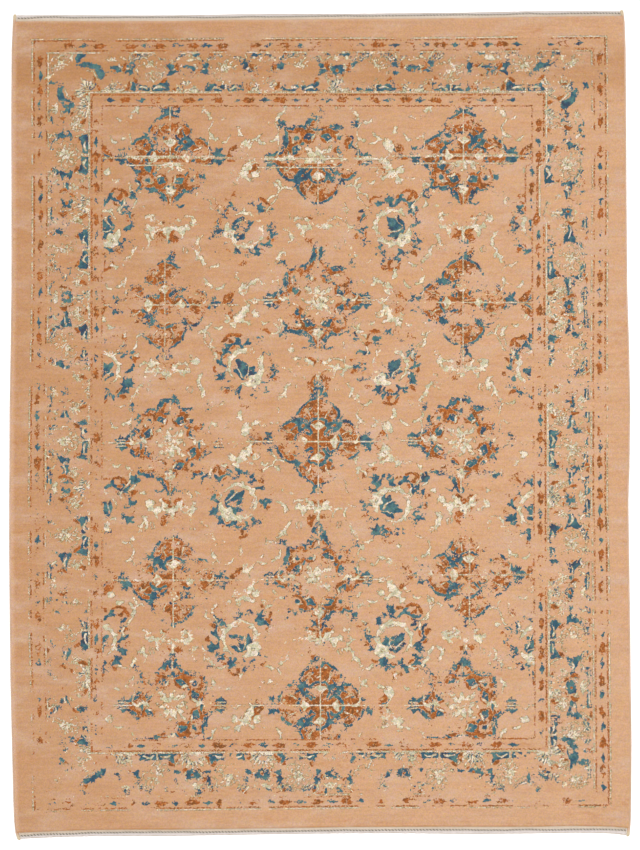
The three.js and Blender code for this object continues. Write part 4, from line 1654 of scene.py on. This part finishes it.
@dataclass(frozen=True)
class WoolAndSilkPile:
    """Knotted pile: matt peach wool, with the drawing in brighter, slightly glossy silk.

    The sheared ground gives the eye a soft dull peach with faint weft streaks, and what is left of the drawing
    a ragged edge, because single knots were spared or lost. Sizes and depths are in mm.
    """

    ground_left: str = "#b7865e"
    ground_right: str = "#c99c78"
    # darker wool: the colour of the dark weft band, and painted shadow along the pile's foot edge
    weft_band_and_foot_shadow: str = "#ad7b4e"
    rim: str = "#d3aa8b"
    dark_band: float = 860.0  # line of the darkest weft band
    pale: str = "#c9a991"
    warm: str = "#b67a48"
    blue: tuple[str, str, str] = ("#2d5161", "#4e7271", "#333c4e")
    rust: tuple[str, str, str] = ("#9d541b", "#77451a", "#b9753b")
    cream: tuple[str, str] = ("#bab395", "#deceb7")
    # dark rim round the cream: partly its real outline, partly painted shade at its raised edge; also its greenish
    # patches
    cream_outline_and_shade: str = "#846d47"
    cream_outline_and_shade_width: float = 0.9
    wool_roughness: float = 0.9
    silk_roughness: float = 0.62
    knot: float = 2.3
    worn_ragged: float = 12.0  # how far wear strays with patches of 9 mm
    worn_fine: float = 4.0  # and of 4 mm
    worn_knots: float = 3.2  # and from knot to knot
    spared: float = 8.0  # depth of the wear that a spared knot outlasts
    edge_knots: float = 1.3  # how far a motif's edge strays from knot to knot

    def make(self) -> bpy.types.Material:
        """Builds the finish from the depths of the dyes stored on the knots."""
        shader = Shader("knotted wool and silk pile")
        blue, rust, cream, kept = (
            shader.add("Attribute", out="Fac", attribute_name=name) for name in ("blue", "rust", "cream",
                                                                                 "kept")
        )
        speck = shader.knots(self.knot)
        spared = shader.add("MapRange", (shader.knots(2.8, shift=13.7), 0.8, 0.9),
                            interpolation_type="SMOOTHSTEP")
        worn = shader.total(kept, (shader.noise(9.0, (0.8, 1, 1), 2.0), self.worn_ragged),
                            (shader.noise(4.2, shift=17), self.worn_fine), (speck, self.worn_knots),
                            (spared, self.spared))
        coarse = shader.add("Math", (blue, rust), operation="MAXIMUM")
        # the cream grown by its dark rim, the rim partly painted shade at the raised edge
        cream_with_shaded_rim = shader.total(self.cream_outline_and_shade_width, (cream, 1.0))
        deep = shader.add("Math", (coarse, cream_with_shaded_rim), operation="MAXIMUM")
        deep = shader.add("Math", (shader.total(deep, (speck, self.edge_knots)), worn), operation="MINIMUM")
        drawn = shader.add("MapRange", (deep, -0.35, 0.35), interpolation_type="SMOOTHSTEP")
        colour = shader.blend(shader.total(rust, (blue, -1.0)), -0.3, 0.3, self.blue_yarn(shader),
                              self.rust_yarn(shader))
        # dark rim round the cream: outline and painted shade at its raised edge
        colour = shader.blend(shader.total(cream_with_shaded_rim, (coarse, -1.0)), -0.3, 0.3, colour, self.cream_outline_and_shade)
        colour = shader.blend(shader.total(cream, (speck, 0.8)), -0.35, 0.35, colour, self.cream_yarn(shader))
        colour = shader.add("Mix", {0: drawn, 6: self.wool(shader), 7: colour}, out=2, data_type="RGBA")
        colour = shader.shaded(colour, shader.knots(2.1, shift=3.3), shader.total(0.09, (drawn, 0.15)))
        hue = shader.add("CombineXYZ", (1.0, shader.total(1.0, (shader.knots(2.4, shift=5.7), 0.055)),
                                        shader.total(1.0, (shader.knots(2.6, shift=7.9), 0.2))))
        colour = shader.add("VectorMath", (colour, hue), operation="MULTIPLY")
        rough = shader.total(self.wool_roughness, (drawn, self.silk_roughness - self.wool_roughness))
        height = shader.total(shader.noise(4.0), (shader.knots(1.7, shift=9.1), 1.0))
        return shader.finish(colour, rough, height, (0.25, 0.0004), IOR=1.54, Specular_IOR_Level=0.2)

    def wool(self, shader: Shader) -> Socket:
        """The peach ground: paler to the right, faint streaks along the wefts, painted shadow along its foot edge.
        """
        across, along = (shader.add("SeparateXYZ", (shader.place(),), out=axis) for axis in (0, 1))
        slant = shader.total(across, (along, -0.3), (shader.noise(170), 130.0))
        colour = shader.blend(slant, -1400, 750, self.ground_left, self.ground_right)
        off_band = shader.add("Math", (shader.total(along, (self.dark_band, -1.0)),), operation="ABSOLUTE")
        colour = shader.blend(off_band, 15, 85, colour, self.weft_band_and_foot_shadow, (0.5, 0.0))
        streak = shader.total(shader.noise(40.0, (0.4, 1, 1), 2), (shader.noise(7.0, (0.06, 1, 1), 2), 1.7),
                              (shader.noise(5.0, (0.45, 1, 1), 2, 41), 1.1))
        colour = shader.shaded(colour, streak, 0.045)
        from_edge = shader.add("Attribute", out="Fac", attribute_name="from_pale_edge")
        colour = shader.blend(from_edge, 0.5, 13.0, colour, self.rim, (0.75, 0.0))
        # painted shadow along the pile's foot edge
        from_shadowed_foot = shader.add("Attribute", out="Fac", attribute_name="from_shadowed_foot")
        colour = shader.blend(from_shadowed_foot, 2.0, 6.5, colour, self.weft_band_and_foot_shadow, (0.7, 0.0))
        colour = shader.blend(shader.noise(34.0, (0.35, 1, 1), 3), -0.3, 1.3, colour, self.pale)
        warmer = shader.total(shader.noise(26.0, (0.25, 1, 1), 3, 31),
                              (shader.noise(9.0, (0.5, 1, 1), 2, 63), 0.7))
        return shader.blend(warmer, 0.1, 2.0, colour, self.warm)

    def blue_yarn(self, shader: Shader) -> Socket:
        """Blue silk between teal and violet."""
        colour = shader.blend(shader.noise(16.0), -0.4, 0.5, self.blue[0], self.blue[1])
        return shader.blend(shader.noise(22.0, shift=50), 0.1, 0.8, colour, self.blue[2])

    def rust_yarn(self, shader: Shader) -> Socket:
        """Rust wool between orange and brown."""
        colour = shader.blend(shader.noise(14.0, shift=80), -0.3, 0.6, self.rust[0], self.rust[1])
        return shader.blend(shader.noise(5.0, shift=60), 0.1, 0.6, colour, self.rust[2])

    def cream_yarn(self, shader: Shader) -> Socket:
        """Undyed silk, greenish in places."""
        colour = shader.blend(shader.noise(14.0, shift=120), -0.4, 0.4, self.cream[0], self.cream[1])
        return shader.blend(shader.noise(3.4, shift=20), 0.4, 0.9, colour, self.cream_outline_and_shade)


@dataclass(frozen=True)
class CottonWeave:
    """Flat cotton weave: dull off-white with its crossing threads showing."""

    name: str
    inner: str
    outer: str
    thread: float = 2.2  # mm
    roughness: float = 0.95

    def make(self) -> bpy.types.Material:
        """Builds the finish, from its inner colour to its outer one."""
        shader = Shader(self.name)
        outward = shader.add("Attribute", out="Fac", attribute_name="outward")
        colour = shader.blend(outward, 0.35, 0.75, self.inner, self.outer)
        thread = shader.total(shader.noise(7.0, (0.4, 1, 1), 2),
                              (shader.knots(self.thread, (1, 0.6, 1)), 1.0))
        colour = shader.shaded(colour, thread, 0.05)
        return shader.finish(colour, self.roughness, thread, (0.3, 0.0003), IOR=1.53)


@dataclass(frozen=True)
class SpunYarn:
    """Spun yarn of the twined rows and side cords: soft, with uneven dyeing."""

    name: str
    colour: str
    other: str
    tip: str
    patch: float = 12.0  # mm
    fibre: float = 1.1  # mm
    roughness: float = 0.9

    def make(self) -> bpy.types.Material:
        """Builds the finish."""
        shader = Shader(self.name)
        colour = shader.blend(shader.noise(self.patch, detail=2), -0.7, 0.7, self.colour, self.other)
        bare_tip = shader.add("Attribute", out="Fac", attribute_name="bare_tip")
        colour = shader.add("Mix", {0: bare_tip, 6: colour, 7: self.tip}, out=2, data_type="RGBA")
        fibre = shader.knots(self.fibre)
        colour = shader.shaded(colour, fibre, 0.06)
        return shader.finish(colour, self.roughness, fibre, (0.3, 0.0003), IOR=1.54, Sheen_Weight=0.2)


@dataclass(frozen=True)
class Studio:
    """White floor, soft light from above and the camera straight over the rug."""

    camera_x: float = -0.84  # mm
    camera_y: float = 0.24
    pile_top: float = 8.0
    distance: float = 7000.0
    seen_height: float = 2046.5
    sensor: float = 36.0
    floor_reach: float = 30.0  # m
    floor_glow: float = 0.2
    sky: float = 0.71
    soft_box: tuple[float, float] = (3.4, 3.8)  # m
    soft_box_place: tuple[float, float, float] = (0.25, 0.0, 3.2)  # m
    soft_box_power: float = 75.0  # W

    def floor(self) -> bpy.types.Object:
        """Makes the white floor."""
        shader = Shader("white studio floor")
        shader.wire(shader.surface, {"Base Color": (1, 1, 1, 1), "Roughness": 1.0, "Specular IOR Level": 0.0,
                                     "Emission Color": (1, 1, 1, 1), "Emission Strength": self.floor_glow})
        mesh = bpy.data.meshes.new("studio_floor")
        far = self.floor_reach
        mesh.from_pydata([(-far, -far, 0), (far, -far, 0), (far, far, 0), (-far, far, 0)], [], [(0, 1, 2, 3)])
        mesh.materials.append(shader.material)
        floor = bpy.data.objects.new("studio_floor", mesh)
        bpy.context.scene.collection.objects.link(floor)
        return floor

    def lights(self) -> None:
        """Sets an even white sky and one large soft light."""
        world = bpy.data.worlds.new("studio")
        world.use_nodes = True
        background = world.node_tree.nodes["Background"]
        background.inputs["Color"].default_value = (1, 1, 1, 1)
        background.inputs["Strength"].default_value = self.sky
        bpy.context.scene.world = world
        lamp = bpy.data.lights.new("soft_box", "AREA")
        lamp.shape, lamp.energy = "RECTANGLE", self.soft_box_power
        lamp.size, lamp.size_y = self.soft_box
        soft_box = bpy.data.objects.new("soft_box", lamp)
        soft_box.location = self.soft_box_place
        bpy.context.scene.collection.objects.link(soft_box)

    def camera(self) -> None:
        """Places the camera straight over the rug."""
        lens = bpy.data.cameras.new("over_the_rug")
        lens.type, lens.sensor_fit = "PERSP", "VERTICAL"
        lens.sensor_height = self.sensor
        lens.lens = self.sensor * self.distance / self.seen_height
        camera = bpy.data.objects.new("over_the_rug", lens)
        camera.location = [v * MM for v in (self.camera_x, self.camera_y, self.pile_top + self.distance)]
        bpy.context.scene.collection.objects.link(camera)
        bpy.context.scene.camera = camera

    def set_up(self) -> None:
        """Sets the whole studio."""
        self.floor()
        self.lights()
        self.camera()
        bpy.context.scene.view_settings.view_transform = "Standard"


# Pieces of the pile: first and last column, first and last row, in squares
PILE_PIECES = {
    "border_left": ((-308, -229), (-405, 407)),
    "field_left": ((-229, -75), (-325, 330)),
    "field_centre": ((-75, 75), (-325, 330)),
    "field_right": ((75, 225), (-325, 330)),
    "border_right": ((225, 308), (-405, 407)),
    "border_foot": ((-229, 225), (-405, -325)),
    "border_top": ((-229, 225), (330, 407)),
}


def main() -> None:
    """Dresses the rug and sets the studio."""
    logging.basicConfig(level=logging.INFO, format="%(message)s")
    outline = Outline()
    cloth = PileCloth(outline, Loom(), PileShape())
    RugDrawing(cloth.chart).draw()
    log.info("drawing of %d by %d knots", len(cloth.across), len(cloth.along))
    pile = WoolAndSilkPile().make()
    pieces = [cloth.cut(name, *span).build(pile, "pile") for name, span in PILE_PIECES.items()]
    back = Foundation(outline).build(CottonWeave("cotton back", "#b9a894", "#b9a894").make())
    kilim = CottonWeave("cotton kilim", "#dfcfba", "#dacfcb").make()
    pieces += [Kilim(end, outline).build(kilim) for end in (Edge.TOP, Edge.FOOT)]
    light = SpunYarn("light twine", "#d6ccbe", "#c8bcac", "#d6ccbe").make()
    dark = SpunYarn("dark twine", "#4e463a", "#625849", "#4e463a").make()
    for end in (Edge.TOP, Edge.FOOT):
        pieces += TwinedRow(end, outline, Strand()).build(light, dark)
    overcast = SpunYarn("overcast wool", "#d6b298", "#c6a385", "#cfbb9c", patch=60.0).make()
    pieces += [SideCord(side, outline).build(overcast) for side in (Edge.LEFT, Edge.RIGHT)]
    named = {piece.name: piece for piece in pieces}
    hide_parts("rug_cloth")
    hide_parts("twined_row_top")
    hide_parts("twined_row_foot")
    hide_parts("side_cord_left")
    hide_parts("side_cord_right")
    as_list(pieces)
    for piece in (back, *pieces):
        log.info("%s: %d triangles", piece.name, sum(len(p.vertices) - 2 for p in piece.data.polygons))
    Studio().set_up()


if __name__ == "__main__":
    main()
